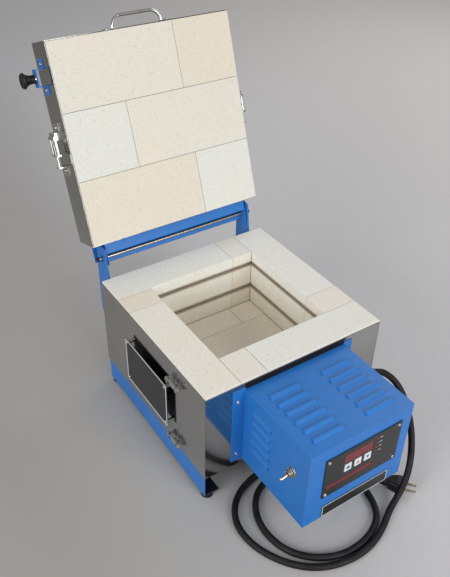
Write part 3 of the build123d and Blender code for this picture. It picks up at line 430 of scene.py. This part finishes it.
creamTint = shade(238, 234, 223)
paleTint = shade(236, 236, 229)
# painted shade: the lid bricks keep their own cream, pale and sandy tints, set darker than the walls' so
# the lid's face shows less of the light it catches
shadedLidCream = shade(228, 224, 212)
shadedLidPale = shade(227, 228, 221)
shadedLidSand = shade(229, 221, 205)
finishes = {
    "brickWall": makeBrick("brickWall", paleTint, fired=True),
    "brickWallLeft": makeBrick("brickWallLeft", creamTint, fired=True),
    "brickCut": makeBrick(
        "brickCut", shade(234, 227, 211), shade(236, 232, 222), -0.1077, True,
        shade(238, 232, 222), 0.1077),
    "brickFloor": makeBrick("brickFloor", shade(245, 239, 226), shade(243, 236, 221), 0.0572),
    "brickLidRear": makeBrick("brickLidRear", shadedLidSand, shadedLidPale, 0.0572),
    "brickLidMiddle": makeBrick("brickLidMiddle", shadedLidPale, shadedLidCream, -0.0572),
    "brickLidFront": makeBrick("brickLidFront", shadedLidCream, shadedLidSand, 0.0572),
    "bluePaint": makePaint("bluePaint", shade(36, 118, 198), shade(32, 108, 188), 0.42, 0.0),
    # the stand's paint is darkened inside its channels as painted shade
    "standPaint": makePaint("standPaint", shade(36, 116, 196), shade(32, 106, 184), 0.42, 0.03, 0.1705),
    # painted shade: the stand's rails are painted dark to stand for the shade under the kiln
    "shadeDarkPaint": makePaint("shadeDarkPaint", shade(30, 52, 96), shade(24, 42, 80), 0.45, 0.1),
    "mirrorSteel": makeMetal(
        "mirrorSteel", shade(180, 180, 178), shade(164, 163, 158), 0.09, (1.0, 1.0, 30.0), 22.0, 0.012,
        rim=shade(104, 84, 68)),
    "dullSteel": makeMetal("dullSteel", shade(150, 150, 146), shade(120, 118, 112), 0.32, (1.0, 1.0, 8.0)),
    "chrome": makeMetal("chrome", shade(206, 205, 202), shade(178, 176, 170), 0.16, scale=300.0),
    "warmChrome": makeMetal("warmChrome", shade(214, 202, 184), shade(178, 160, 136), 0.2, scale=300.0),
    "rodSteel": makeMetal(
        "rodSteel", shade(214, 204, 186), shade(176, 160, 138), 0.22, (20.0, 1.0, 1.0), 80.0),
    "nickel": makeMetal("nickel", shade(186, 178, 162), shade(150, 142, 128), 0.3, scale=300.0),
    "brass": makeMetal("brass", shade(206, 168, 96), shade(160, 120, 60), 0.3, scale=200.0),
    # painted shade: the coil wire is coloured near black, darker than its own oxide, to stand for the shade
    # in the element grooves
    "shadeDarkCoilWire": makeMetal("shadeDarkCoilWire", shade(22, 18, 16), shade(14, 11, 10), 0.6, scale=400.0),
    "coreIron": makeMetal(
        "coreIron", shade(70, 72, 76), shade(46, 46, 48), 0.5, (1.0, 1.0, 60.0), 30.0, 0.08),
    "blackRubber": makeMoulded(
        "blackRubber", shade(12, 12, 13), shade(30, 30, 32), 0.55, 500.0, 0.06, 0.05, 0.3),
    "blackPlastic": makeMoulded(
        "blackPlastic", shade(12, 12, 13), shade(30, 30, 32), 0.42, 650.0, 0.04, 0.04, 0.35),
    "panelBlack": makeMoulded(
        "panelBlack", shade(20, 21, 23), shade(30, 31, 34), 0.24, 1400.0, 0.015, 0.05),
    "plateBlack": makeMoulded("plateBlack", shade(30, 30, 31), shade(46, 46, 46), 0.34, 1100.0, 0.02, 0.05),
    "keyWhite": makeMoulded("keyWhite", shade(226, 230, 232), shade(206, 210, 214), 0.4, 800.0, 0.02, 0.03),
    "porcelain": makeMoulded(
        "porcelain", shade(228, 222, 208), shade(206, 196, 176), 0.25, 300.0, 0.02, 0.05),
    "boardGreen": makeMoulded("boardGreen", shade(26, 92, 58), shade(20, 70, 46), 0.35, 400.0, 0.03, 0.05),
    "displayRed": makeGlow("displayRed", shade(122, 24, 30), shade(104, 18, 26), 0.05),
    "lampRed": makeGlow("lampRed", shade(170, 22, 26), shade(140, 14, 20), 0.08),
}
printInks = {  # colour, second colour, roughness
    "printWhite": (shade(206, 208, 210), shade(180, 182, 184), 0.5),
    "printSilver": (shade(214, 217, 220), shade(186, 190, 194), 0.35),
    "printRed": (shade(128, 28, 34), shade(104, 22, 28), 0.5),
    "printOrange": (shade(206, 118, 54), shade(188, 100, 44), 0.5),
    "printBlue": (shade(58, 96, 150), shade(48, 82, 132), 0.5),
}
for name, ink in printInks.items():
    finishes[name] = makeMoulded(name, *ink, 900.0, 0.01, 0.02)
print("finishes made:", len(finishes))


def dress(finish, *names):
    for name in names:
        piece = nodes[name]
        if not piece.material_slots:
            piece.data.materials.append(finishes[finish])
        for slot in piece.material_slots:
            slot.material = finishes[finish]


dress("brickWall", "wall_brick_front", "wall_brick_right", "wall_brick_back")
dress("brickWallLeft", "wall_brick_left")
dress("brickCut", "wall_cut_bricks")
dress("brickFloor", "floor_bricks")
dress("brickLidRear", "lid_bricks_rear")
dress("brickLidMiddle", "lid_bricks_middle")
dress("brickLidFront", "lid_bricks_front")
dress("bluePaint", "controller_wrap", "controller_front")
dress("standPaint", "stand_channel_left", "stand_channel_right")
dress("bluePaint", "hinge_post_left", "hinge_post_right", "lid_hinge_bracket", "knob_bracket")
dress("shadeDarkPaint", "stand_rails")
dress("mirrorSteel", "case_wrap", "lid_band", "lid_cover")
dress("dullSteel", "bottom_pan", "heat_baffle", "thermocouple")
dress("chrome", "lid_handle", "knob_ferrule", "lid_clamp_left", "lid_clamp_right", "case_clamps")
dress("chrome", "case_screws", "lid_screws", "faceplate_screws", "nameplate_standoffs", "board_spacers")
dress("nickel", "plug_blades")
dress("warmChrome", "toggle_nut", "toggle_lever")
dress("rodSteel", "hinge_rod")
dress("brass", "element_connectors")
dress("shadeDarkCoilWire", "heating_element_upper", "heating_element_lower")
dress("coreIron", "transformer")
dress("blackRubber", "rubber_feet", "power_cord", "strain_relief")
dress("blackPlastic", "lid_knob", "hinge_rod_caps", "toggle_switch_body", "relay", "plug_body")
dress("panelBlack", "control_faceplate")
dress("plateBlack", "badge_plate", "nameplate")
dress("keyWhite", "control_key_left", "control_key_middle", "control_key_right")
dress("porcelain", "element_insulators")
dress("boardGreen", "circuit_board")
dress("displayRed", "display_window")
dress("lampRed", "indicator_lamps")
print("kiln dressed")


# Floor

# painted light on the floor: its colour is darker on the left and towards the front (painted shade) and
# lighter on the right (painted light), standing in for how the lamps' light falls across it
paintedLightFloor = {
    "half": 6.0,
    "left": shade(166, 164, 159),
    "middle": shade(210, 209, 211),
    "right": shade(226, 224, 221),
    "front": shade(112, 112, 110),
    "leftShadeSpan": (-0.42, 0.25),
    "rightLightSpan": (0.25, 2.0),
    "frontShadeSpan": (-0.7, -1.7),
}


def makeFloor(settings):
    material, tree, shader = newFinish("paintedLightPaper", Roughness=0.9)
    shader.inputs["Specular IOR Level"].default_value = 0.1
    along = axisOf(tree, objectPlace(tree), 0)
    deep = axisOf(tree, objectPlace(tree), 1)
    # painted shade to the left and the front, painted light to the right
    toned = mixColors(
        tree, spread(tree, along, *settings["leftShadeSpan"]), settings["left"], settings["middle"])
    toned = mixColors(tree, spread(tree, along, *settings["rightLightSpan"]), toned, settings["right"])
    toned = mixColors(tree, spread(tree, deep, *settings["frontShadeSpan"]), toned, settings["front"])
    grain = useGroup(
        tree, mottle, {"Color": toned, "Other": settings["left"], "Scale": 90.0, "Low": 0.4, "High": 4.0})
    tree.links.new(grain.outputs["Color"], shader.inputs["Base Color"])
    half = settings["half"]
    mesh = bpy.data.meshes.new("paintedLightFloor")
    corners = [(-half, -half, 0), (half, -half, 0), (half, half, 0), (-half, half, 0)]
    mesh.from_pydata(corners, [], [(0, 1, 2, 3)])
    mesh.materials.append(material)
    floor = bpy.data.objects.new("paintedLightFloor", mesh)
    bpy.context.scene.collection.objects.link(floor)


makeFloor(paintedLightFloor)


# Mesh helpers

def toMetres(*place):
    return Vector(place) * mm


openLid = {
    "foot": (188.79, 296.00),  # y and z of the brick face's lower edge
    "lean": (0.33051, 0.94380),  # sine and cosine of its 19.3 degrees
}


def onLid(x, along, behind):
    foot, level = openLid["foot"]
    sine, cosine = openLid["lean"]
    return toMetres(x, foot + sine * along + cosine * behind, level + cosine * along - sine * behind)


def facing(place, way):
    way = Vector(way).normalized()
    side = Vector((0.0, 0.0, 1.0)).cross(way)
    if side.length < 0.001:
        side = Vector((1.0, 0.0, 0.0))
    side.normalize()
    rise = way.cross(side)
    turn = Matrix((side, rise, way)).transposed().to_4x4()
    return Matrix.Translation(place) @ turn


def addPiece(name, mesh, finish, slot, body, *replaced):
    mesh.materials.append(finishes[finish])
    piece = bpy.data.objects.new(name, mesh)
    bpy.context.scene.collection.objects.link(piece)
    if replaced:
        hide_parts(*replaced)
    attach(piece, body)
    return piece


def finishMesh(name, work, smooth=40.0):
    bmesh.ops.remove_doubles(work, verts=work.verts, dist=0.000001)
    bmesh.ops.recalc_face_normals(work, faces=work.faces)
    for edge in work.edges:
        edge.smooth = edge.is_manifold and edge.calc_face_angle(0.0) < math.radians(smooth)
    for face in work.faces:
        face.smooth = True
    mesh = bpy.data.meshes.new(name)
    work.to_mesh(mesh)
    work.free()
    return mesh


def addLathe(work, base, outline, steps=32, hollow=False):
    rings = []
    for radius, height in outline:
        ring = []
        for step in range(steps):
            turn = 2 * math.pi * step / steps
            local = Vector((radius * mm * math.cos(turn), radius * mm * math.sin(turn), height * mm))
            ring.append(work.verts.new(base @ local))
        rings.append(ring)
    if hollow:
        rings.append(rings[0])
    for low, high in zip(rings, rings[1:]):
        for step in range(steps):
            after = (step + 1) % steps
            work.faces.new((low[step], low[after], high[after], high[step]))
    if not hollow:
        work.faces.new(list(reversed(rings[0])))
        work.faces.new(rings[-1])


def addSlab(work, base, outline, depth):
    low = [work.verts.new(base @ Vector((x * mm, y * mm, 0))) for x, y in outline]
    high = [work.verts.new(base @ Vector((x * mm, y * mm, depth * mm))) for x, y in outline]
    work.faces.new(list(reversed(low)))
    work.faces.new(high)
    for here in range(len(outline)):
        after = (here + 1) % len(outline)
        work.faces.new((low[here], low[after], high[after], high[here]))


# Screws and rivets

screwHead = {
    "height": 1.8,
    "rings": 9,
    "steps": 32,
    "fullness": 2.6,  # a higher number makes a flatter dome
    "cross": 0.17,  # half the slot's width and its reach, as shares of the radius
    "reach": 0.62,
    "sink": 0.45,  # depth of the cross, as a share of the height
}


def addScrew(work, base, radius):
    rings, steps, height = screwHead["rings"], screwHead["steps"], screwHead["height"]
    grid = []
    for ring in range(rings + 1):
        share = ring / rings
        far = radius * share
        line = []
        for step in range(steps):
            turn = 2 * math.pi * (step + 0.5) / steps
            x, y = far * math.cos(turn), far * math.sin(turn)
            dome = height * math.sqrt(max(0.0, 1 - share ** screwHead["fullness"]))
            if min(abs(x), abs(y)) < radius * screwHead["cross"] and far < radius * screwHead["reach"]:
                dome -= height * screwHead["sink"]
            line.append(work.verts.new(base @ Vector((x * mm, y * mm, dome * mm))))
            if ring == 0:
                break
        grid.append(line)
    for step in range(steps):
        after = (step + 1) % steps
        work.faces.new((grid[0][0], grid[1][step], grid[1][after]))
        for inner, outer in zip(grid[1:], grid[2:]):
            work.faces.new((inner[step], outer[step], outer[after], inner[after]))
    work.faces.new(list(reversed(grid[-1])))


def makeScrews(name, groups, body, replaced, place=toMetres):
    work = bmesh.new()
    for xs, ys, zs, way, radius in groups.values():
        for x, y, z in itertools.product(xs, ys, zs):
            addScrew(work, facing(place(x, y, z), way), radius)
    addPiece(name, finishMesh(name, work, smooth=35.0), "chrome", "chrome", body, replaced)


caseScrews = {  # x, y and z of the heads, the way they face, radius
    "flange": ((-113.75, 102.75), (-173.85,), (82.0, 198.0), (0, -1, 0), 3.2),
    "posts": ((-140.5, 140.5), (175.65,), (145.25, 211.75), (0, 1, 0), 3.2),
    "nameplate": ((-181.2,), (-64.0, 64.0), (95.0, 175.0), (-1, 0, 0), 3.0),
}
makeScrews("caseScrewHeads", caseScrews, "kiln_body", "case_screws")

faceplateScrews = {"corners": ((-66.0, 69.0), (-333.0,), (117.5, 188.0), (0, -1, 0), 3.0)}
makeScrews("faceplateScrewHeads", faceplateScrews, "kiln_body", "faceplate_screws")

rivets = {
    "outline": ((2.4, -0.2), (2.4, 0.2), (1.9, 0.7), (1.1, 0.95), (0.3, 1.0)),
    "steps": 24,
    "panel": (73.4, -331.5, 83.5),
    "bracketAcross": (-109.89, -72.02, 0.0, 72.02, 109.89),
    "bracketFace": (-5.4, 12.0),
}


def makeRivets(name, bases, body):
    work = bmesh.new()
    for base in bases:
        addLathe(work, base, rivets["outline"], rivets["steps"])
    addPiece(name, finishMesh(name, work), "bluePaint", "blue_paint", body)


makeRivets("panelRivet", [facing(toMetres(*rivets["panel"]), (0, -1, 0))], "kiln_body")

lidScrews = {  # x, way along the lid from its hinge edge and way behind the brick face
    "leftClamp": ((-174.65,), (133.0, 206.0), (42.0,), (-1, 0, 0), 3.2),
    "rightClamp": ((174.65,), (133.0, 206.0), (30.0,), (1, 0, 0), 3.2),
    "knobBracket": ((-174.25,), (268.0, 310.0), (42.0,), (-1, 0, 0), 3.2),
    "handle": ((-53.0, 59.0), (345.7,), (24.0,), (0.0, *openLid["lean"]), 3.2),
}
makeScrews("lidScrewHeads", lidScrews, "lid", "lid_screws", onLid)

sine, cosine = openLid["lean"]
bracketPlaces = [onLid(x, *rivets["bracketFace"]) for x in rivets["bracketAcross"]]
makeRivets("bracketRivets", [facing(place, (0.0, -cosine, sine)) for place in bracketPlaces], "lid")
print("screws and rivets set")


# Heating elements

heatingCoil = {
    "line": 116.15,  # half the square that the coil's middle runs round
    "corner": 9.0,
    "cornerSteps": 6,
    "radius": 1.85,
    "wire": 0.5,
    "pitch": 1.9,
    "turnPoints": 9,
    "tail": 12.0,
    "tailEnd": -193.65,
    "tailWire": 1.6,
}


def coilLine(settings, level):
    line, corner, tail = settings["line"], settings["corner"], settings["tail"]
    steps = settings["cornerSteps"]
    flat = line - corner
    marks = [(-tail, -line)]
    for x, y, start in ((-flat, -flat, 270), (-flat, flat, 180), (flat, flat, 90), (flat, -flat, 0)):
        for step in range(steps + 1):
            turn = math.radians(start - 90 * step / steps)
            marks.append((x + corner * math.cos(turn), y + corner * math.sin(turn)))
    marks.append((tail, -line))
    return [Vector((x, y, level)) for x, y in marks]


def makeCoil(name, level, replaced, settings):
    marks = coilLine(settings, level)
    wound = []
    done = 0.0
    step = settings["pitch"] / settings["turnPoints"]
    for here, after in zip(marks, marks[1:]):
        run = after - here
        way = run.normalized()
        side = way.cross(Vector((0, 0, 1)))
        travelled = -done % step
        while travelled < run.length:
            turn = 2 * math.pi * (done + travelled) / settings["pitch"]
            out = side * math.cos(turn) + Vector((0, 0, 1)) * math.sin(turn)
            wound.append((here + way * travelled + out * settings["radius"]) * mm)
            travelled += step
        done += run.length
    data = bpy.data.curves.new(name, "CURVE")
    data.dimensions = "3D"
    data.bevel_depth = settings["wire"] * mm
    data.bevel_resolution = 1
    data.use_fill_caps = True
    coil = data.splines.new("POLY")
    coil.points.add(len(wound) - 1)
    for point, place in zip(coil.points, wound):
        point.co = (*place, 1.0)
    thick = settings["tailWire"] / settings["wire"]
    for side in (-1, 1):
        tail = data.splines.new("POLY")
        tail.points.add(1)
        x = side * settings["tail"]
        for point, y in zip(tail.points, (-settings["line"], settings["tailEnd"])):
            point.co = (x * mm, y * mm, level * mm, 1.0)
            point.radius = thick
    data.materials.append(finishes["shadeDarkCoilWire"])
    piece = bpy.data.objects.new(name, data)
    bpy.context.scene.collection.objects.link(piece)
    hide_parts(replaced)
    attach(piece, "kiln_body")


makeCoil("upperCoil", 208.6, "heating_element_upper", heatingCoil)
makeCoil("lowerCoil", 157.8, "heating_element_lower", heatingCoil)
print("heating coils wound")


# Rubber feet

rubberFoot = {
    "places": 161.15,  # from the middle, both ways
    "outline": (
        (4.2, 3.0), (4.2, 0.4),  # recess of the screw
        (6.5, 0.0), (9.0, 0.0), (9.7, 0.5), (10.0, 1.4), (9.5, 6.6), (9.2, 7.4), (8.6, 8.0), (3.0, 8.0)),
}


def makeFeet(settings):
    work = bmesh.new()
    for x in (-settings["places"], settings["places"]):
        for y in (-settings["places"], settings["places"]):
            addLathe(work, Matrix.Translation(toMetres(x, y, 0)), settings["outline"], steps=40)
    mesh = finishMesh("mouldedFeet", work)
    addPiece("mouldedFeet", mesh, "blackRubber", "black_rubber", "kiln_body", "rubber_feet")


makeFeet(rubberFoot)


# Louvre hoods over the controller's vents

louvreHood = {
    "length": 54.0,
    "width": 7.4,
    "rise": 3.0,
    "sheet": 0.7,
    "ends": 0.6,  # how far a rounded end reaches, as a share of the width
    "steps": (28, 8),
    "columns": (-53.0, 46.0),
    "rows": 6,
    "first": -209.0,
    "pitch": 20.1,
    "top": 217.5,
    "sideLength": 45.0,
    "sideRows": 5,
    "sideMiddle": -220.0,
    "sideBase": 108.0,
    "sideFace": -101.75,
}


def addHood(work, base, length):
    width, rise = louvreHood["width"], louvreHood["rise"]
    along, across = louvreHood["steps"]
    grid = []
    for i in range(along + 1):
        x = -length / 2 + length * i / along
        ends = min(1.0, (length / 2 - abs(x)) / (width * louvreHood["ends"]))
        swell = math.sqrt(max(0.0, 1 - (1 - ends) ** 2))
        line = []
        for j in range(across + 1):
            share = j / across
            y = -width / 2 + width * share
            height = rise * swell * math.sin(share * math.pi / 2) ** 0.8
            line.append(base @ Vector((x * mm, y * mm, height * mm)))
        grid.append(line)
    sheet = [[work.verts.new(place) for place in line] for line in grid]
    inset = base.to_3x3() @ Vector((0, 0, -louvreHood["sheet"] * mm))
    lining = [[work.verts.new(place + inset) for place in line] for line in grid]
    for i in range(along):
        for j in range(across):
            work.faces.new((sheet[i][j], sheet[i + 1][j], sheet[i + 1][j + 1], sheet[i][j + 1]))
            work.faces.new((lining[i][j], lining[i][j + 1], lining[i + 1][j + 1], lining[i + 1][j]))
        work.faces.new((sheet[i][across], sheet[i + 1][across], lining[i + 1][across], lining[i][across]))


def makeHoods(settings):
    work = bmesh.new()
    for x in settings["columns"]:
        for row in range(settings["rows"]):
            y = settings["first"] - row * settings["pitch"]
            addHood(work, Matrix.Translation(toMetres(x, y, settings["top"])), settings["length"])
    turn = Matrix.Rotation(math.pi / 2, 4, "Z") @ Matrix.Rotation(-math.pi / 2, 4, "X")
    for row in range(settings["sideRows"]):
        level = settings["sideBase"] + row * settings["pitch"]
        place = Matrix.Translation(toMetres(settings["sideFace"], settings["sideMiddle"], level)) @ turn
        addHood(work, place, settings["sideLength"])
    mesh = finishMesh("louvreHoods", work, smooth=50.0)
    addPiece("louvreHoods", mesh, "bluePaint", "blue_paint", "kiln_body")


makeHoods(louvreHood)
print("feet and louvres shaped")


# Plates and printing on the panel

def roundedBox(width, height, radius, steps=5):
    corners = []
    for sideX, sideY, start in ((1, 1, 0), (-1, 1, 90), (-1, -1, 180), (1, -1, 270)):
        for step in range(steps + 1):
            turn = math.radians(start + 90 * step / steps)
            x = sideX * (width / 2 - radius) + radius * math.cos(turn)
            corners.append((x, sideY * (height / 2 - radius) + radius * math.sin(turn)))
    return corners


def addBorder(work, base, width, height, radius, line, depth):
    outer = roundedBox(width, height, radius)
    inner = roundedBox(width - 2 * line, height - 2 * line, max(radius - line, 0.2))
    rings = []
    for outline, rise in ((outer, 0.0), (outer, depth), (inner, depth), (inner, 0.0)):
        rings.append([work.verts.new(base @ Vector((x * mm, y * mm, rise * mm))) for x, y in outline])
    for low, high in zip(rings, rings[1:]):
        for here in range(len(outer)):
            after = (here + 1) % len(outer)
            work.faces.new((low[here], low[after], high[after], high[here]))


plateTrim = {
    "nameplate": ((-181.2, 0.0, 135.0), (-1, 0, 0), 139.6, 91.6, 1.2, 2.4, 0.25, "printSilver"),
    "badge": ((-0.25, -332.3, 76.0), (0, -1, 0), 131.4, 24.0, 1.2, 1.3, 0.2, "printWhite"),
}


def makeBorders(settings):
    for name, (place, way, width, height, radius, line, depth, finish) in settings.items():
        work = bmesh.new()
        addBorder(work, facing(toMetres(*place), way), width, height, radius, line, depth)
        title = name + "Border"
        addPiece(title, finishMesh(title, work), finish, "chrome", "kiln_body")


makeBorders(plateTrim)

panelPrint = {
    "face": -333.0,
    "depth": 0.12,
    "stripe": (-66.0, 23.0, 129.0, 135.5),
    "keyLevel": 156.0,
    "keys": (-27.8, -8.8, 10.2),
    "keyFace": -334.2,
    "signs": (
        ("left", "printBlue", [(-3.0, -3.0), (3.0, -3.0), (3.0, 3.0), (-3.0, 3.0)]),
        ("middle", "printOrange", [(-3.6, -3.0), (3.6, -3.0), (0.0, 3.6)]),
        ("right", "printBlue", [(-3.6, 3.0), (0.0, -3.6), (3.6, 3.0)]),
    ),
    "ticks": (31.5, 37.5),
    "tickHalf": 0.6,
    "lamps": 4,
    "lampTop": 183.0,
    "lampPitch": 9.2,
}


def makePrint(settings):
    front = facing(toMetres(0, settings["face"], 0), (0, -1, 0))
    depth = settings["depth"]
    x0, x1, z0, z1 = settings["stripe"]
    work = bmesh.new()
    addSlab(work, front, [(x0, z0), (x1, z0), (x1, z1), (x0, z1)], depth)
    addPiece("redStripe", finishMesh("redStripe", work), "printRed", "panel_black", "kiln_body")
    work = bmesh.new()
    left, right = settings["ticks"]
    for row in range(settings["lamps"]):
        level = settings["lampTop"] - row * settings["lampPitch"]
        low, high = level - settings["tickHalf"], level + settings["tickHalf"]
        addSlab(work, front, [(left, low), (right, low), (right, high), (left, high)], depth)
    addPiece("lampTicks", finishMesh("lampTicks", work), "printWhite", "key_white", "kiln_body")
    for (name, finish, outline), x in zip(settings["signs"], settings["keys"]):
        work = bmesh.new()
        face = facing(toMetres(x, settings["keyFace"], settings["keyLevel"]), (0, -1, 0))
        addSlab(work, face, outline, depth)
        title = name + "KeySign"
        addPiece(title, finishMesh(title, work), finish, "key_white", "key_" + name)


makePrint(panelPrint)

switchBush = {
    "root": (-101.75, -296.6, 155.7),
    "outer": 6.05,
    "cut": 5.75,
    "bore": 3.6,
    "start": 0.2,
    "reach": 9.0,
    "chamfer": 0.6,
    "threads": 8,
}


def makeBush(settings):
    outer, cut, bore = settings["outer"], settings["cut"], settings["bore"]
    start, reach, chamfer = settings["start"], settings["reach"], settings["chamfer"]
    pitch = (reach - start - chamfer) / settings["threads"]
    outline = [(bore, start), (cut, start)]
    for turn in range(settings["threads"]):
        outline += [(outer, start + pitch * (turn + 0.5)), (cut, start + pitch * (turn + 1))]
    outline += [(outer - chamfer, reach), (bore, reach)]
    work = bmesh.new()
    addLathe(work, facing(toMetres(*settings["root"]), (-1, 0, 0)), outline, steps=40, hollow=True)
    addPiece("switchBush", finishMesh("switchBush", work, smooth=25.0), "warmChrome", "chrome", "kiln_body")


makeBush(switchBush)

# painted shade: a black sheet on the case front above the controller stands for the dark gap between the
# case and the controller
shadeGapStrip = {"x": (-101.0, 94.0), "levels": (219.0, 229.0), "back": -172.7, "depth": 0.9}


def makeStrip(settings):
    (x0, x1), (z0, z1) = settings["x"], settings["levels"]
    work = bmesh.new()
    face = facing(toMetres(0, settings["back"], 0), (0, -1, 0))
    addSlab(work, face, [(x0, z0), (x1, z0), (x1, z1), (x0, z1)], settings["depth"])
    addPiece("shadeGapStrip", finishMesh("shadeGapStrip", work), "blackRubber", "black_rubber", "kiln_body")


makeStrip(shadeGapStrip)
print("plates and printing set")


# Power cord

powerCord = {
    "radius": 5.5,
    "length": 1.533,
    "points": [
        (106, -222, 185), (130, -223, 180.5), (150.5, -228, 166), (163.5, -242.5, 148),
        (164.3, -265.7, 125.3), (153.2, -293.4, 102.8), (138.6, -315.6, 79), (123.9, -330.8, 52.9),
        (108, -339.6, 28.5), (90.5, -344.2, 11.8), (68.1, -352.4, 5.55), (37.7, -370.6, 5.55),
        (3.7, -383.9, 5.55), (-32.7, -387.5, 5.55), (-68.1, -382.1, 5.55), (-101.4, -367.1, 5.55),
        (-130.8, -339, 5.55), (-153.3, -296.8, 5.55), (-159.2, -251.2, 5.55), (-144.6, -214.8, 5.55),
        (-116.2, -190.5, 5.55), (-78.4, -177.6, 5.55), (-37.9, -176.2, 5.55), (2, -188.9, 5.55),
        (36.1, -214.2, 5.55), (58.7, -249.8, 5.55), (64.6, -287.5, 5.55), (59.5, -320.5, 5.55),
        (45.2, -349.4, 5.55), (19.4, -366.4, 5.55), (-13.2, -374.7, 5.55), (-49.8, -373.6, 5.55),
        (-87.1, -357, 5.55), (-114.4, -328.3, 5.55), (-126.2, -291.5, 5.55), (-123.5, -252.8, 5.55),
        (-107.8, -221.8, 5.55), (-80.4, -199.9, 5.55), (-45.3, -193.7, 5.55), (-10.2, -202, 5.55),
        (20, -220, 9), (45.5, -243.5, 18.4), (71.5, -272.5, 19), (95, -302, 12.6),
    ],
}

cordBoot = {
    "root": (98.75, -221.70, 186.36),
    "outline": (
        (12.0, -4.0), (12.0, -0.6), (11.3, 0.0), (9.4, 0.2), (9.3, 2.0),
        (8.5, 2.3), (8.5, 3.7), (9.0, 4.0), (9.0, 6.2),
        (8.2, 6.5), (8.2, 7.9), (8.6, 8.2), (8.6, 10.4),
        (7.8, 10.7), (7.8, 12.1), (8.1, 12.4), (8.1, 14.6),
        (7.3, 14.9), (7.3, 16.3), (7.6, 16.6), (7.5, 18.9), (7.0, 19.5), (6.2, 21.0), (5.6, 21.3)),
}


def makeBoot(settings):
    work = bmesh.new()
    route = powerCord["points"]
    way = Vector(route[1]) - Vector(route[0])
    addLathe(work, facing(toMetres(*settings["root"]), way), settings["outline"], steps=40)
    mesh = finishMesh("cordBoot", work, smooth=50.0)
    return addPiece("cordBoot", mesh, "blackRubber", "black_rubber", "kiln_body", "strain_relief")


def makeCord(settings, boot):
    data = bpy.data.curves.new("rubberCord", "CURVE")
    data.dimensions = "3D"
    data.bevel_depth = settings["radius"] * mm
    data.bevel_resolution = 6
    data.use_fill_caps = True
    data.resolution_u = 12
    route = data.splines.new("NURBS")
    route.points.add(len(settings["points"]) - 1)
    for point, place in zip(route.points, settings["points"]):
        point.co = (*toMetres(*place), 1.0)
    route.order_u = 3
    route.use_endpoint_u = True
    data.materials.append(finishes["blackRubber"])
    cord = bpy.data.objects.new("rubberCord", data)
    bpy.context.scene.collection.objects.link(cord)
    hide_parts("power_cord")
    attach(cord, "kiln_body")


makeCord(powerCord, makeBoot(cordBoot))
print("cord laid")
